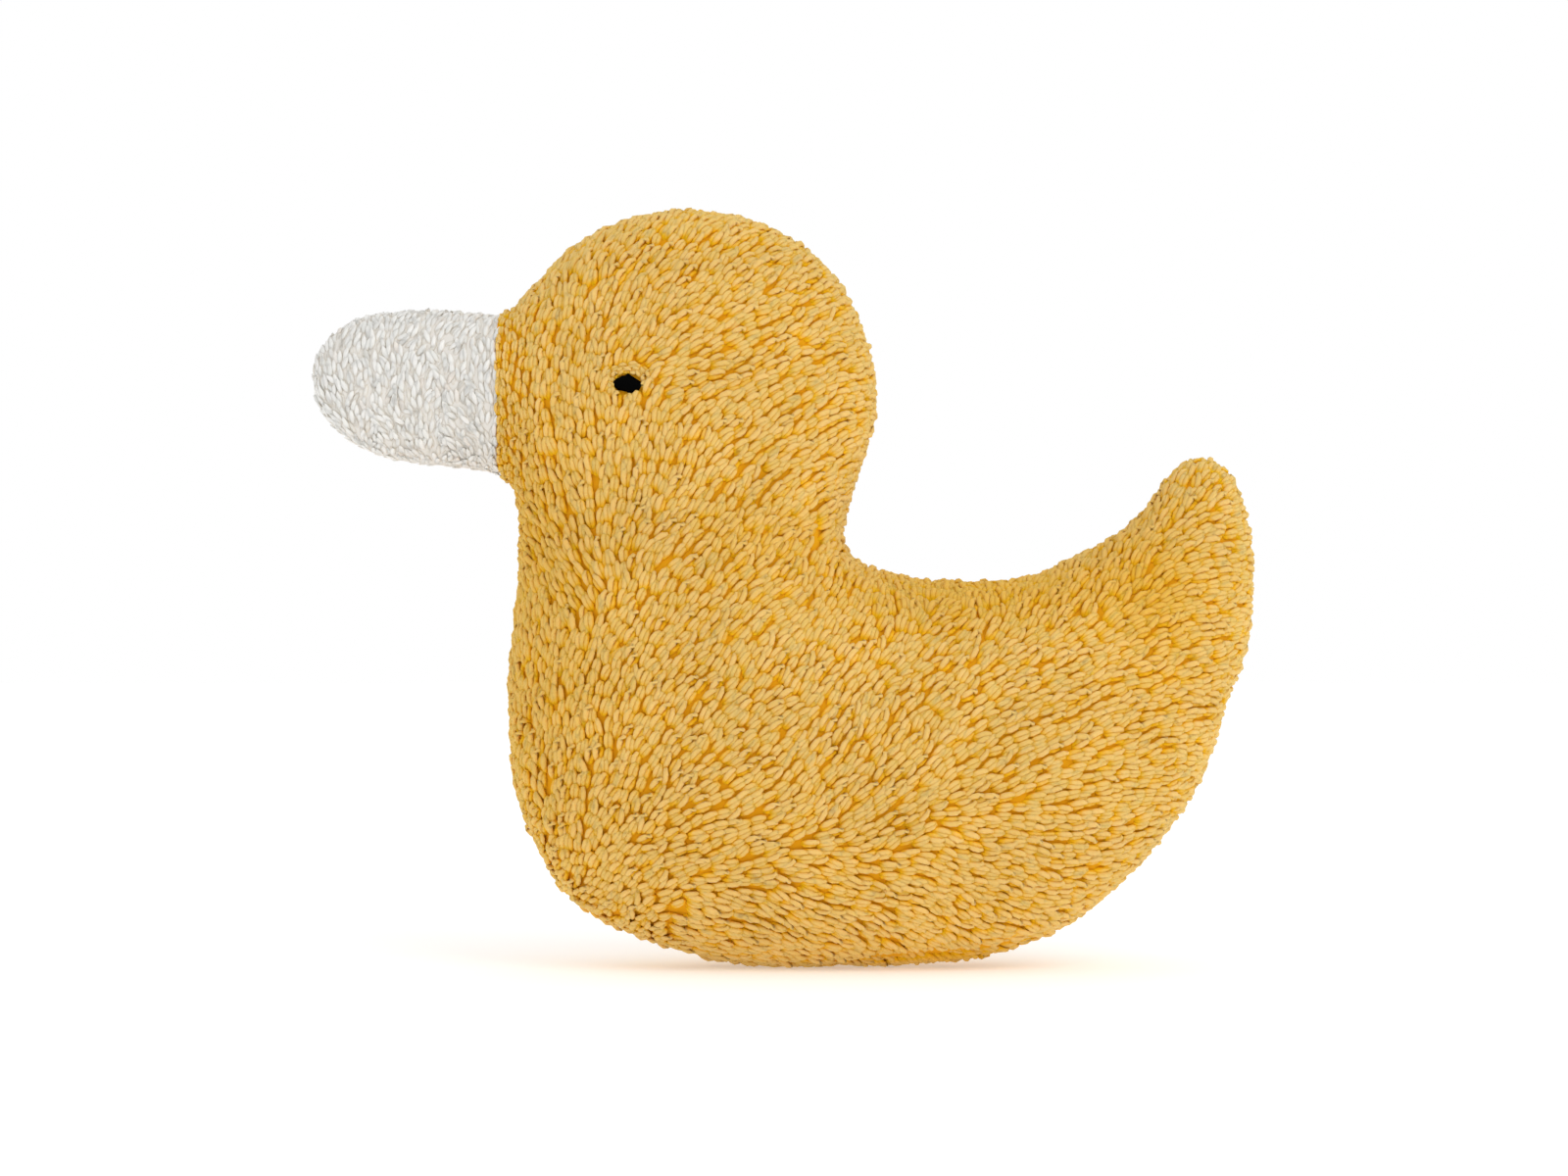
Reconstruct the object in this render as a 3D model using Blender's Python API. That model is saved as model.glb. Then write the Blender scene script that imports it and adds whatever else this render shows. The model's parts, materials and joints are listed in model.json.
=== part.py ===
# Plush duck, standing upright with its beak towards -X and its left side towards -Y.
# Two mirrored panels share one outline. They swell where the panel is wide and close at the
# seam, and the head, the beak and the tail are cut from the same swollen form, each with a
# rounded end that sits in a hollow of the piece that carries it.
import math

import bmesh
import bpy
import numpy as np
from mathutils import Matrix, Vector
from mathutils.bvhtree import BVHTree
from mathutils.geometry import delaunay_2d_cdt

MM = 0.001

# Trunk
BODY_LENGTH = 175.3 * MM  # breast to the back of the tail
BODY_HEIGHT = 99.3 * MM  # surface it stands on to the neck line
BODY_THICKNESS = 70 * MM
FOOT_CUT = 0.5 * MM  # how far below the flat belly the round form would reach
TAIL_LENGTH = 54.9 * MM
TAIL_RISE = 27.7 * MM
TAIL_FOOT_SHARE = 0.919  # of the body height

# Head and beak
HEAD_LENGTH = 87.4 * MM
HEAD_HEIGHT = 77.9 * MM
HEAD_THICKNESS = 58 * MM
BEAK_LENGTH = 44.9 * MM
BEAK_HEIGHT = 37.8 * MM
BEAK_THICKNESS = 29 * MM
BEAK_AXIS_SHARE = 0.448  # of the head height

# Cloth, seams and clearances
COVER = 3 * MM
GAP = 0.3 * MM
SEAM_WIDTH = 1 * MM
SEAM_INSET = 0.8 * MM
SEAM_DEPTH = 1.3 * MM

# Eyes
EYE_LENGTH = 6.6 * MM
EYE_HEIGHT = 4.8 * MM
EYE_PROUD = 0.9 * MM
EYE_LENGTH_SHARE = 0.334  # of the head length, back from the breast
EYE_HEIGHT_SHARE = 0.47  # of the head height

# Thread round the beak's root
THREAD_RADIUS = 0.45 * MM
THREAD_SETBACK = 1.5 * MM
THREAD_CLEARANCE = 0.45 * MM

# Bending lines: how far outside each line its hinge axis lies
NECK_AXIS_OFFSET = 10 * MM
NECK_REACH_SHARE = 0.65  # of the head length, from the middle of the neck to behind the head
BEAK_REACH_SHARE = 1.2  # of the beak length, from the breast to ahead of the beak
BEAK_AXIS_OFFSET = 6 * MM
BEAK_LINE_FORWARD = 1.6 * MM  # where the beak is sewn on, ahead of the breast
TAIL_AXIS_OFFSET = 6 * MM
BALL_MARGIN = 0.5 * MM
TAIL_LINE_DEGREES = -42
TAIL_LINE_SHARES = (0.52, -0.52)  # of the tail's length and rise

# Stretch of the belly seam that is closed by hand, as shares of the body length
CLOSING_SHARES = (0.50, 0.72)

# Mesh spacing
EDGE_STEP = 6.6 * MM
PANEL_STEP = 13.5 * MM
OUTER_RINGS = (1.2 * MM, 4.4 * MM, 10 * MM)
INNER_RINGS = (2 * MM, 8 * MM)

# Outline of each part, as shares of its own length and height, in order round the duck
BEAK_SHARES = (
    (0.071, -0.509), (0.250, -0.476), (0.454, -0.452), (0.633, -0.409), (0.811, -0.306),
    (0.939, -0.148), (0.995, 0.045), (0.974, 0.215), (0.888, 0.355), (0.735, 0.458),
    (0.531, 0.497), (0.276, 0.500), (0.046, 0.494),
)
HEAD_SHARES = (
    (0.018, 0.705), (0.045, 0.740), (0.089, 0.784), (0.141, 0.849), (0.209, 0.907),
    (0.298, 0.957), (0.398, 0.988), (0.500, 0.999), (0.605, 0.984), (0.709, 0.946),
    (0.801, 0.890), (0.880, 0.811), (0.940, 0.705), (0.979, 0.587), (1.000, 0.458),
    (0.995, 0.358), (0.969, 0.256), (0.940, 0.153), (0.919, 0.065),
)
BACK_SHARES = (
    (0.455, 1.002), (0.460, 0.982), (0.470, 0.963), (0.486, 0.947), (0.510, 0.933),
    (0.554, 0.917), (0.598, 0.911), (0.645, 0.912),
)
TAIL_SHARES = (
    (0.000, 0.000), (0.117, 0.066), (0.250, 0.198), (0.417, 0.372), (0.521, 0.554),
    (0.588, 0.727), (0.646, 0.893), (0.721, 0.992), (0.808, 0.988), (0.887, 0.893),
    (0.950, 0.678), (0.988, 0.347), (1.000, -0.041), (0.988, -0.438), (0.958, -0.727),
)
BELLY_SHARES = (
    (0.970, 0.643), (0.948, 0.518), (0.920, 0.409), (0.884, 0.316), (0.838, 0.223),
    (0.785, 0.140), (0.728, 0.076), (0.671, 0.038), (0.615, 0.018), (0.543, 0.007),
    (0.452, 0.002), (0.373, 0.000), (0.302, 0.010), (0.243, 0.033), (0.184, 0.070),
    (0.132, 0.115), (0.086, 0.172), (0.051, 0.248), (0.026, 0.339), (0.009, 0.436),
    (0.004, 0.546), (0.004, 0.661), (0.009, 0.764), (0.014, 0.856), (0.017, 0.947),
    (0.018, 1.000),
)
THROAT_SHARES = ((0.033, 0.070), (0.026, 0.129), (0.003, 0.170))
EYE_SHARES = (
    (-0.50, 0.05), (-0.24, 0.22), (-0.03, 0.50), (0.20, 0.30), (0.50, -0.04),
    (0.34, -0.20), (0.32, -0.42), (0.10, -0.50), (-0.18, -0.34),
)

YELLOW = (0.72, 0.42, 0.10, 1)
YELLOW_THREAD = (0.62, 0.30, 0.04, 1)
PALE = (0.72, 0.69, 0.62, 1)
BLACK = (0.008, 0.006, 0.005, 1)
FILLING = (0.85, 0.85, 0.83, 1)


def clear_scene():
    for thing in list(bpy.data.objects):
        bpy.data.objects.remove(thing)


def make_material(name, colour, roughness=0.9):
    material = bpy.data.materials.new(name)
    material.use_nodes = True
    shader = material.node_tree.nodes["Principled BSDF"]
    shader.inputs["Base Color"].default_value = colour
    shader.inputs["Roughness"].default_value = roughness
    shader.inputs["Metallic"].default_value = 0
    return material


def outline_points():
    """The duck's outline from the beak's underside clockwise, with the beak towards -X."""
    beak_height = BODY_HEIGHT + BEAK_AXIS_SHARE * HEAD_HEIGHT
    tail_x = BODY_LENGTH - TAIL_LENGTH
    tail_z = TAIL_FOOT_SHARE * BODY_HEIGHT
    points = [(-u * BEAK_LENGTH, beak_height + v * BEAK_HEIGHT) for u, v in BEAK_SHARES]
    points += [(u * HEAD_LENGTH, BODY_HEIGHT + v * HEAD_HEIGHT) for u, v in HEAD_SHARES]
    points += [(u * BODY_LENGTH, v * BODY_HEIGHT) for u, v in BACK_SHARES]
    points += [(tail_x + u * TAIL_LENGTH, tail_z + v * TAIL_RISE) for u, v in TAIL_SHARES]
    whole_height = BODY_HEIGHT + FOOT_CUT
    points += [(u * BODY_LENGTH, v * whole_height - FOOT_CUT) for u, v in BELLY_SHARES]
    points += [(u * HEAD_LENGTH, BODY_HEIGHT + v * HEAD_HEIGHT) for u, v in THROAT_SHARES]
    return np.array(points)


def smooth_loop(points, steps=16):
    """A closed Catmull-Rom curve through the points."""
    before, after, beyond = np.roll(points, 1, 0), np.roll(points, -1, 0), np.roll(points, -2, 0)
    curve = []
    for step in range(steps):
        t = step / steps
        curve.append(
            0.5 * (2 * points + t * (after - before)
                   + t**2 * (2 * before - 5 * points + 4 * after - beyond)
                   + t**3 * (3 * points - before - 3 * after + beyond))
        )
    return np.stack(curve, 1).reshape(-1, 2)


def even_loop(curve, spacing):
    """The closed curve again, with points an even distance apart."""
    closed = np.vstack([curve, curve[:1]])
    along = np.concatenate([[0], np.cumsum(np.linalg.norm(np.diff(closed, axis=0), axis=1))])
    count = int(round(along[-1] / spacing))
    wanted = np.linspace(0, along[-1], count, endpoint=False)
    return np.stack([np.interp(wanted, along, closed[:, i]) for i in range(2)], 1)


def inward(curve):
    """Unit normals pointing into a clockwise closed curve."""
    along = np.roll(curve, -1, 0) - np.roll(curve, 1, 0)
    along /= np.linalg.norm(along, axis=1)[:, None]
    return np.stack([along[:, 1], -along[:, 0]], 1)


def distance_to(points, curve):
    return np.min(np.linalg.norm(points[:, None] - curve[None], axis=2), axis=1)


def inside(points, loop):
    """Which points lie within the closed loop, by counting crossings."""
    x, z = points[:, :1], points[:, 1:]
    ax, az = loop[:, 0], loop[:, 1]
    bx, bz = np.roll(ax, -1), np.roll(az, -1)
    crosses = (az > z) != (bz > z)
    level = np.where(bz == az, 1, bz - az)
    return (np.sum(crosses & (x < ax + (z - az) / level * (bx - ax)), axis=1) % 2) == 1


def inset_loop(fine, distance, spacing):
    """Points a distance inside the outline, left out where two stretches come too close."""
    loop = even_loop(fine, spacing)
    moved = loop + inward(loop) * distance
    return moved[distance_to(moved, fine) > 0.96 * distance]


def panel_points(edge, rings):
    """The edge, finer rings just inside it, and an even triangular grid in the middle."""
    fine = even_loop(edge, EDGE_STEP / 4)
    first = edge + inward(edge) * rings[0]
    layers = [edge, first[distance_to(first, fine) > 0.9 * rings[0]]]
    for ring, distance in enumerate(rings[1:]):
        layers.append(inset_loop(fine, distance, EDGE_STEP * (1.4 + 0.2 * ring)))
    low, high = edge.min(0), edge.max(0)
    rows = np.arange(low[1], high[1], PANEL_STEP * math.sqrt(3) / 2)
    grid = [
        (x, z)
        for row, z in enumerate(rows)
        for x in np.arange(low[0] + (row % 2) * PANEL_STEP / 2, high[0], PANEL_STEP)
    ]
    grid = np.array(grid)
    grid = grid[inside(grid, edge)]
    grid = grid[distance_to(grid, fine) > rings[-1] + PANEL_STEP / 2]
    layers.append(grid)
    return np.vstack(layers)


def triangulate(points, edge_count):
    """A flat mesh of all the points, with the first ones as its outline."""
    loop = list(range(edge_count))
    flat = [Vector(p) / MM for p in points]
    found, _, faces, origin, _, _ = delaunay_2d_cdt(flat, [], [loop], 1, 1e-6)
    index = [members[0] for members in origin]
    return [tuple(index[corner] for corner in face) for face in faces]


def swell(points, faces, edge_count):
    """How far an even pressure lifts each point, as the half width of a round section."""
    count = len(points)
    stiffness, area = np.zeros((count, count)), np.zeros(count)
    for face in faces:
        corners = [Vector(points[i]) for i in face]
        twice = abs((corners[1] - corners[0]).cross(corners[2] - corners[0]))
        for turn in range(3):
            i, j, k = face[turn], face[turn - 2], face[turn - 1]
            a, b = Vector(points[i]) - Vector(points[k]), Vector(points[j]) - Vector(points[k])
            weight = a.dot(b) / twice / 2
            stiffness[i, j] -= weight
            stiffness[j, i] -= weight
            stiffness[i, i] += weight
            stiffness[j, j] += weight
            area[i] += twice / 6
    free = slice(edge_count, count)
    lift = np.zeros(count)
    lift[free] = np.linalg.solve(stiffness[free, free], area[free])
    return np.sqrt(2 * lift)


def ease(value):
    value = np.clip(value, 0, 1)
    return value * value * (3 - 2 * value)


class Panel:
    """One flat panel: its outline, its triangles, and how far each point stands off the seam."""

    def __init__(self, edge, rings):
        self.edge_count = len(edge)
        self.points = panel_points(edge, rings)
        self.faces = triangulate(self.points, self.edge_count)
        self.round = swell(self.points, self.faces, self.edge_count)

    def puff(self, front, thickness_cut):
        """Half thickness: each part reaches its own thickness, and they ease into each other."""
        x, z = self.points.T
        head = ease((z - BODY_HEIGHT) / (HEAD_HEIGHT / 3) + 0.5)
        head *= ease((front + HEAD_LENGTH * 1.3 - x) / (HEAD_LENGTH / 4))
        beak = ease((front - x) / (BEAK_LENGTH / 3) + 0.8) * head
        half = 0
        for weight, thickness in (
            (1 - head, BODY_THICKNESS),
            (head - beak, HEAD_THICKNESS),
            (beak, BEAK_THICKNESS),
        ):
            widest = np.max(self.round[weight > 0.9])
            half = half + weight * (thickness / 2 - thickness_cut) / widest
        self.half = half * self.round

    def sheet(self, side, foot):
        """The puffed panel's corners in space, on the side given by -1 or 1."""
        y = side * (foot + self.half)
        return [Vector((x, y[i], z)) for i, (x, z) in enumerate(self.points)]


def new_object(name, corners, faces, material):
    mesh = bpy.data.meshes.new(name)
    mesh.from_pydata(corners, [], faces)
    work = bmesh.new()
    work.from_mesh(mesh)
    bmesh.ops.recalc_face_normals(work, faces=work.faces)
    bmesh.ops.triangulate(work, faces=work.faces)
    work.to_mesh(mesh)
    work.free()
    mesh.shade_smooth()
    mesh.set_sharp_from_angle(angle=math.radians(40))
    mesh.materials.append(material)
    thing = bpy.data.objects.new(name, mesh)
    bpy.context.collection.objects.link(thing)
    return thing


def bridge(first, second, count):
    """Faces between two closed rows of corners that start at these numbers."""
    rows = []
    for i in range(count):
        j = (i + 1) % count
        rows.append((first + i, first + j, second + j, second + i))
    return rows


def cover_half(name, side, outer, inner, material):
    """Half a hollow cover: the outer sheet, the inner sheet, and the flat rim at the seam."""
    foot = SEAM_WIDTH / 2 + GAP
    corners = outer.sheet(side, foot) + inner.sheet(side, foot)
    start = len(outer.points)
    faces = list(outer.faces)
    faces += [tuple(start + i for i in reversed(face)) for face in inner.faces]
    faces += bridge(0, start, outer.edge_count)
    return new_object(name, corners, faces, material)


def filling(name, inner, material):
    """The filling: both inner sheets joined across the seam, and drawn in by the clearance."""
    foot = SEAM_WIDTH / 2 + GAP
    corners = inner.sheet(-1, foot) + inner.sheet(1, foot)
    start = len(inner.points)
    faces = list(inner.faces) + [tuple(start + i for i in reversed(face)) for face in inner.faces]
    faces += bridge(0, start, inner.edge_count)
    thing = new_object(name, corners, faces, material)
    work = bmesh.new()
    work.from_mesh(thing.data)
    work.normal_update()
    moves = [v.normal * GAP * v.calc_shell_factor() for v in work.verts]
    for v, move in zip(work.verts, moves):
        v.co -= move
    work.to_mesh(thing.data)
    work.free()
    return thing


def seam_stretch(name, fine, start, end, material):
    """A flat strip in the seam from one place on the outline to another, clockwise."""
    count = len(fine)
    first, last = nearest(fine, start), nearest(fine, end)
    if last <= first:
        last += count
    steps = max(3, round((last - first) * EDGE_STEP / 4 / EDGE_STEP))
    picks = [round(first + (last - first) * i / steps) % count for i in range(steps + 1)]
    normals = inward(fine)
    deep = SEAM_INSET + SEAM_DEPTH
    corners = []
    for pick in picks:
        for y, inset in (
            (-1, SEAM_INSET), (1, SEAM_INSET), (1, deep), (-1, deep),
        ):
            x, z = fine[pick] + normals[pick] * inset
            corners.append(Vector((x, y * SEAM_WIDTH / 2, z)))
    faces = [(0, 1, 2, 3)]
    for row in range(steps):
        faces += bridge(4 * row, 4 * row + 4, 4)
    faces.append(tuple(range(4 * steps, 4 * steps + 4)))
    return new_object(name, corners, faces, material)


def nearest(curve, point):
    return int(np.argmin(np.linalg.norm(curve - np.array(point), axis=1)))


class Bend:
    """A line across the form that bends: its ends, its hinge axis and its rounded interface."""

    def __init__(self, name, fine, form, through, direction, outwards, offset, reaches):
        self.name = name
        self.along = Vector((direction[0], 0, direction[1])).normalized()
        self.out = Vector((outwards[0], 0, outwards[1])).normalized()
        ends = crossings(fine, through, direction)
        self.ends = ends
        middle = (ends[0] + ends[1]) / 2
        self.half_length = np.linalg.norm(ends[1] - ends[0]) / 2
        self.line = Vector((middle[0], 0, middle[1]))
        self.pivot = self.line + self.out * offset
        hit, _, _, _ = form.ray_cast(self.line + Vector((0, 1, 0)), Vector((0, -1, 0)))
        self.thickness = hit.y
        self.round = math.hypot(hit.y, offset) + BALL_MARGIN
        self.long = self.half_length * self.round / hit.y + BALL_MARGIN
        self.reaches = reaches

    def cutter(self, grow):
        """The child's side of the bend: a dome on the parent's side, and a wide block behind.

        The dome is turned about the hinge axis, so the parent's hollow and the child's end slide
        past each other. The hollow's flats are pushed out to clear the end's corners."""
        spans, turns = 8, 12
        long, across = self.long + grow, self.round + grow
        if grow > 0:
            across /= math.cos(math.pi / 2 / turns)
        corners = [self.pivot - self.along * long, self.pivot + self.along * long]
        rows = []
        for turn in range(turns + 1):
            angle = math.pi * turn / turns
            outwards = Vector((0, math.cos(angle), 0)) - self.out * math.sin(angle)
            row = [0]
            for span in range(1, spans):
                bow = math.pi * span / spans
                row.append(len(corners))
                corners.append(
                    self.pivot
                    - self.along * long * math.cos(bow)
                    + outwards * across * math.sin(bow)
                )
            rows.append(row + [1])
        faces = []
        for row, after in zip(rows, rows[1:]):
            for span in range(spans):
                face = (row[span], row[span + 1], after[span + 1], after[span])
                faces.append(tuple(dict.fromkeys(face)))
        rim = rows[0] + rows[-1][-2:0:-1]
        levels = [rim]
        for rise in (0, self.reaches[0]):
            levels.append(range(len(corners), len(corners) + len(rim)))
            for corner in rim:
                away = (corners[corner] - self.pivot).normalized()
                reach = self.reaches[1 if away.dot(self.along) > 0 else 0]
                corners.append(self.pivot + away * reach + self.out * rise)
        for level, after in zip(levels, levels[1:]):
            for i in range(len(rim)):
                j = (i + 1) % len(rim)
                faces.append((level[i], level[j], after[j], after[i]))
        faces.append(tuple(levels[-1]))
        cutter = new_object(f"{self.name}_cutter", corners, faces, bpy.data.materials["guide"])
        cutter.hide_render = True
        cutter.display_type = "WIRE"
        return cutter


def crossings(fine, through, direction):
    """Where a line meets the outline on each side of a point, as two places."""
    through, direction = np.array(through), np.array(direction)
    direction = direction / np.linalg.norm(direction)
    side = np.array([-direction[1], direction[0]])
    offset = (fine - through) @ side
    along = (fine - through) @ direction
    found = []
    for i in range(len(fine)):
        j = (i + 1) % len(fine)
        if (offset[i] > 0) != (offset[j] > 0):
            share = offset[i] / (offset[i] - offset[j])
            found.append(along[i] + share * (along[j] - along[i]))
    low = max(value for value in found if value < 0)
    high = min(value for value in found if value > 0)
    return [through + direction * low, through + direction * high]


def cut(thing, cutter, operation):
    modifier = thing.modifiers.new(cutter.name, "BOOLEAN")
    modifier.operation = operation
    modifier.object = cutter
    modifier.solver = "EXACT"


def bake(thing):
    """Apply the cuts, so that the piece's own origin can move to its hinge."""
    graph = bpy.context.evaluated_depsgraph_get()
    mesh = bpy.data.meshes.new_from_object(thing.evaluated_get(graph))
    thing.modifiers.clear()
    thing.data = mesh
    mesh.shade_smooth()
    mesh.set_sharp_from_angle(angle=math.radians(40))


def move_origin(thing, place):
    """Set the object's origin on its joint's axis without moving its shape."""
    thing.data.transform(Matrix.Translation(-place))
    thing.location = place


def eye_patch(name, form, side, x, z, material):
    """A crowned embroidered patch, flat against the head where the eye is."""
    start = Vector((x, side, z))
    hit, normal, _, _ = form.ray_cast(start, Vector((0, -side, 0)))
    across = normal.cross(Vector((0, 0, 1))).normalized()
    if across.x < 0:
        across.negate()
    up = across.cross(normal)
    if up.z < 0:
        up.negate()
    rise = EYE_LENGTH**2 / (8 * HEAD_THICKNESS / 2)
    corners, count = [], len(EYE_SHARES)
    for level, size in ((0, 1), (0.6, 1), (1, 0.7)):
        for u, v in EYE_SHARES:
            corners.append(
                hit
                + normal * (GAP + rise + level * EYE_PROUD)
                + across * u * size * EYE_LENGTH
                + up * v * size * EYE_HEIGHT
            )
    faces = [tuple(range(count)), tuple(range(2 * count, 3 * count))]
    faces += bridge(0, count, count) + bridge(count, 2 * count, count)
    return new_object(name, corners, faces, material)


def thread_ring(name, form, bend, material):
    """A closed loop of thread on the head, just behind the line where the beak is sewn on."""
    turns, sides = 30, 5
    centre = bend.line - bend.out * THREAD_SETBACK
    path, normals = [], []
    for turn in range(turns):
        angle = 2 * math.pi * turn / turns
        ray = bend.along * math.cos(angle) + Vector((0, math.sin(angle), 0))
        hit, normal, _, _ = form.ray_cast(centre, ray)
        path.append(hit + normal * (THREAD_RADIUS + THREAD_CLEARANCE))
        normals.append(normal)
    for _ in range(6):
        for turn in range(turns):
            ahead = (turn + 1) % turns
            middle = (path[turn] + path[ahead]) / 2
            for place, ends in ((path[turn], (turn,)), (middle, (turn, ahead))):
                near, _, _, distance = form.find_nearest(place)
                short = THREAD_RADIUS + THREAD_CLEARANCE - distance
                if short > 0:
                    push = (place - near).normalized() * short
                    for end in ends:
                        path[end] = path[end] + push
    corners = []
    for turn, place in enumerate(path):
        ahead = (path[(turn + 1) % turns] - path[turn - 1]).normalized()
        one = normals[turn].cross(ahead).normalized()
        two = ahead.cross(one)
        for side in range(sides):
            angle = 2 * math.pi * side / sides
            corners.append(place + (one * math.cos(angle) + two * math.sin(angle)) * THREAD_RADIUS)
    faces = []
    for turn in range(turns):
        faces += bridge(sides * turn, sides * ((turn + 1) % turns), sides)
    return new_object(name, corners, faces, material)


def closed_form(outer):
    """The whole swollen form, for finding places on its surface."""
    foot = SEAM_WIDTH / 2 + GAP
    corners = outer.sheet(-1, foot) + outer.sheet(1, foot)
    start = len(outer.points)
    faces = [tuple(face) for face in outer.faces]
    faces += [tuple(start + i for i in reversed(face)) for face in outer.faces]
    faces += bridge(0, start, outer.edge_count)
    work = bmesh.new()
    placed = [work.verts.new(corner) for corner in corners]
    for face in faces:
        work.faces.new([placed[i] for i in face])
    bmesh.ops.recalc_face_normals(work, faces=work.faces)
    tree = BVHTree.FromBMesh(work)
    work.free()
    return tree


def build():
    clear_scene()
    make_material("guide", FILLING)
    yellow = make_material("loop_pile_yellow", YELLOW, 0.92)
    yellow_thread = make_material("seam_thread_yellow", YELLOW_THREAD, 0.8)
    pale = make_material("loop_pile_pale", PALE, 0.92)
    pale_thread = make_material("seam_thread_pale", PALE, 0.8)
    black = make_material("eye_thread_black", BLACK, 0.45)
    fibre = make_material("filling_fibre", FILLING, 0.95)

    curve = smooth_loop(outline_points())
    shift = -(curve[:, 0].min() + curve[:, 0].max()) / 2
    curve[:, 0] += shift
    edge = even_loop(curve, EDGE_STEP)
    fine = even_loop(curve, EDGE_STEP / 4)
    outer = Panel(edge, OUTER_RINGS)
    outer.puff(shift, SEAM_WIDTH / 2 + GAP)
    inner = Panel(edge + inward(edge) * COVER, INNER_RINGS)
    inner.puff(shift, SEAM_WIDTH / 2 + GAP + COVER)
    form = closed_form(outer)

    beak_height = BODY_HEIGHT + BEAK_AXIS_SHARE * HEAD_HEIGHT
    tail_place = (
        shift + BODY_LENGTH - TAIL_LENGTH + TAIL_LINE_SHARES[0] * TAIL_LENGTH,
        TAIL_FOOT_SHARE * BODY_HEIGHT + TAIL_LINE_SHARES[1] * TAIL_RISE,
    )
    slope = math.radians(TAIL_LINE_DEGREES)
    neck = Bend(
        "neck", fine, form, (shift + HEAD_LENGTH / 2, BODY_HEIGHT), (1, 0), (0, 1),
        NECK_AXIS_OFFSET,
        (HEAD_LENGTH / 2 + BEAK_REACH_SHARE * BEAK_LENGTH, NECK_REACH_SHARE * HEAD_LENGTH),
    )
    beak = Bend(
        "beak", fine, form, (shift - BEAK_LINE_FORWARD, beak_height), (0, 1), (-1, 0),
        BEAK_AXIS_OFFSET, (BEAK_LENGTH, BEAK_LENGTH),
    )
    tail = Bend(
        "tail", fine, form, tail_place, (math.cos(slope), math.sin(slope)),
        (-math.sin(slope), math.cos(slope)), TAIL_AXIS_OFFSET, (TAIL_LENGTH, TAIL_LENGTH),
    )
    child, parent = {}, {}
    for bend in (neck, beak, tail):
        child[bend.name] = bend.cutter(-GAP / 2)
        parent[bend.name] = bend.cutter(GAP / 2)
    cuts = {
        "body": [(parent["neck"], "DIFFERENCE"), (parent["tail"], "DIFFERENCE")],
        "head": [(child["neck"], "INTERSECT"), (parent["beak"], "DIFFERENCE")],
        "beak": [(child["beak"], "INTERSECT")],
        "tail": [(child["tail"], "INTERSECT")],
    }
    ground = ground_cutter()

    pieces = {"body": [], "head": [], "beak": [], "tail": []}
    for part in pieces:
        cloth = pale if part == "beak" else yellow
        for side, label in ((-1, "left"), (1, "right")):
            cover = cover_half(f"{part}_cover_{label}", side, outer, inner, cloth)
            pieces[part].append(cover)
        pieces[part].append(filling(f"{part}_stuffing", inner, fibre))

    outside = BALL_MARGIN * 6
    beak_under, beak_top = [place + np.array((outside, 0)) for place in beak.ends]
    throat, nape = neck.ends
    tail_top, tail_under = tail.ends
    low = [shift + share * BODY_LENGTH for share in CLOSING_SHARES]
    closing = [(low[0], 0), (low[1], fine[:, 1].min())]
    stretches = (
        ("body_seam_back", "body", around(fine, nape, -1), around(fine, tail_top, 1)),
        ("body_seam_rump", "body", around(fine, tail_under, -1), closing[1]),
        ("closing_stitch", "body", closing[1], closing[0]),
        ("body_seam_breast", "body", closing[0], around(fine, throat, 1)),
        ("head_seam_throat", "head", around(fine, throat, -1), around(fine, beak_under, 1)),
        ("head_seam_crown", "head", around(fine, beak_top, -1), around(fine, nape, 1)),
        ("beak_seam", "beak", around(fine, beak_under, -1), around(fine, beak_top, 1)),
        ("tail_seam", "tail", around(fine, tail_top, -1), around(fine, tail_under, 1)),
    )
    for name, part, start, end in stretches:
        thread = pale_thread if part == "beak" else yellow_thread
        pieces[part].append(seam_stretch(name, fine, start, end, thread))

    for part, things in pieces.items():
        for thing in things:
            if thing.name != "closing_stitch":
                for cutter, operation in cuts[part]:
                    cut(thing, cutter, operation)
            if thing.name.startswith("body_cover"):
                cut(thing, ground, "DIFFERENCE")

    eye_x = shift + EYE_LENGTH_SHARE * HEAD_LENGTH
    eye_z = BODY_HEIGHT + EYE_HEIGHT_SHARE * HEAD_HEIGHT
    pieces["head"].append(eye_patch("eye_left", form, -1, eye_x, eye_z, black))
    pieces["head"].append(eye_patch("eye_right", form, 1, eye_x, eye_z, black))
    pieces["head"].append(thread_ring("beak_root_seam", form, beak, yellow_thread))

    for things in pieces.values():
        for thing in things:
            bake(thing)
    for part, bend in (("head", neck), ("beak", beak), ("tail", tail)):
        for thing in pieces[part]:
            move_origin(thing, bend.pivot)
        print(bend.name, "pivot", [round(c, 5) for c in bend.pivot], "axis",
              [round(c, 4) for c in bend.along], "line", [round(c, 5) for c in bend.line],
              "radius", round(bend.round, 5), "half length", round(bend.half_length, 5))


def around(fine, place, direction, overrun=9):
    """A place on the outline a few points before (-1) or after (1) the one given."""
    return tuple(fine[(nearest(fine, place) + direction * overrun) % len(fine)])


def ground_cutter():
    """Everything below the surface that the duck stands on."""
    mesh = bpy.data.meshes.new("ground_cutter")
    work = bmesh.new()
    bmesh.ops.create_cube(work, size=2 * BODY_LENGTH)
    bmesh.ops.translate(work, verts=work.verts, vec=(0, 0, -BODY_LENGTH))
    work.to_mesh(mesh)
    work.free()
    ground = bpy.data.objects.new("ground_cutter", mesh)
    bpy.context.collection.objects.link(ground)
    ground.hide_render = True
    ground.display_type = "WIRE"
    return ground


build()
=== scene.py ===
# Looks of the plush duck: a stuffed skin of backing cloth, thousands of combed yarn loops,
# a pale beak of finer tufts, embroidered eyes and a hand-closed belly seam.
import json
import math

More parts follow.
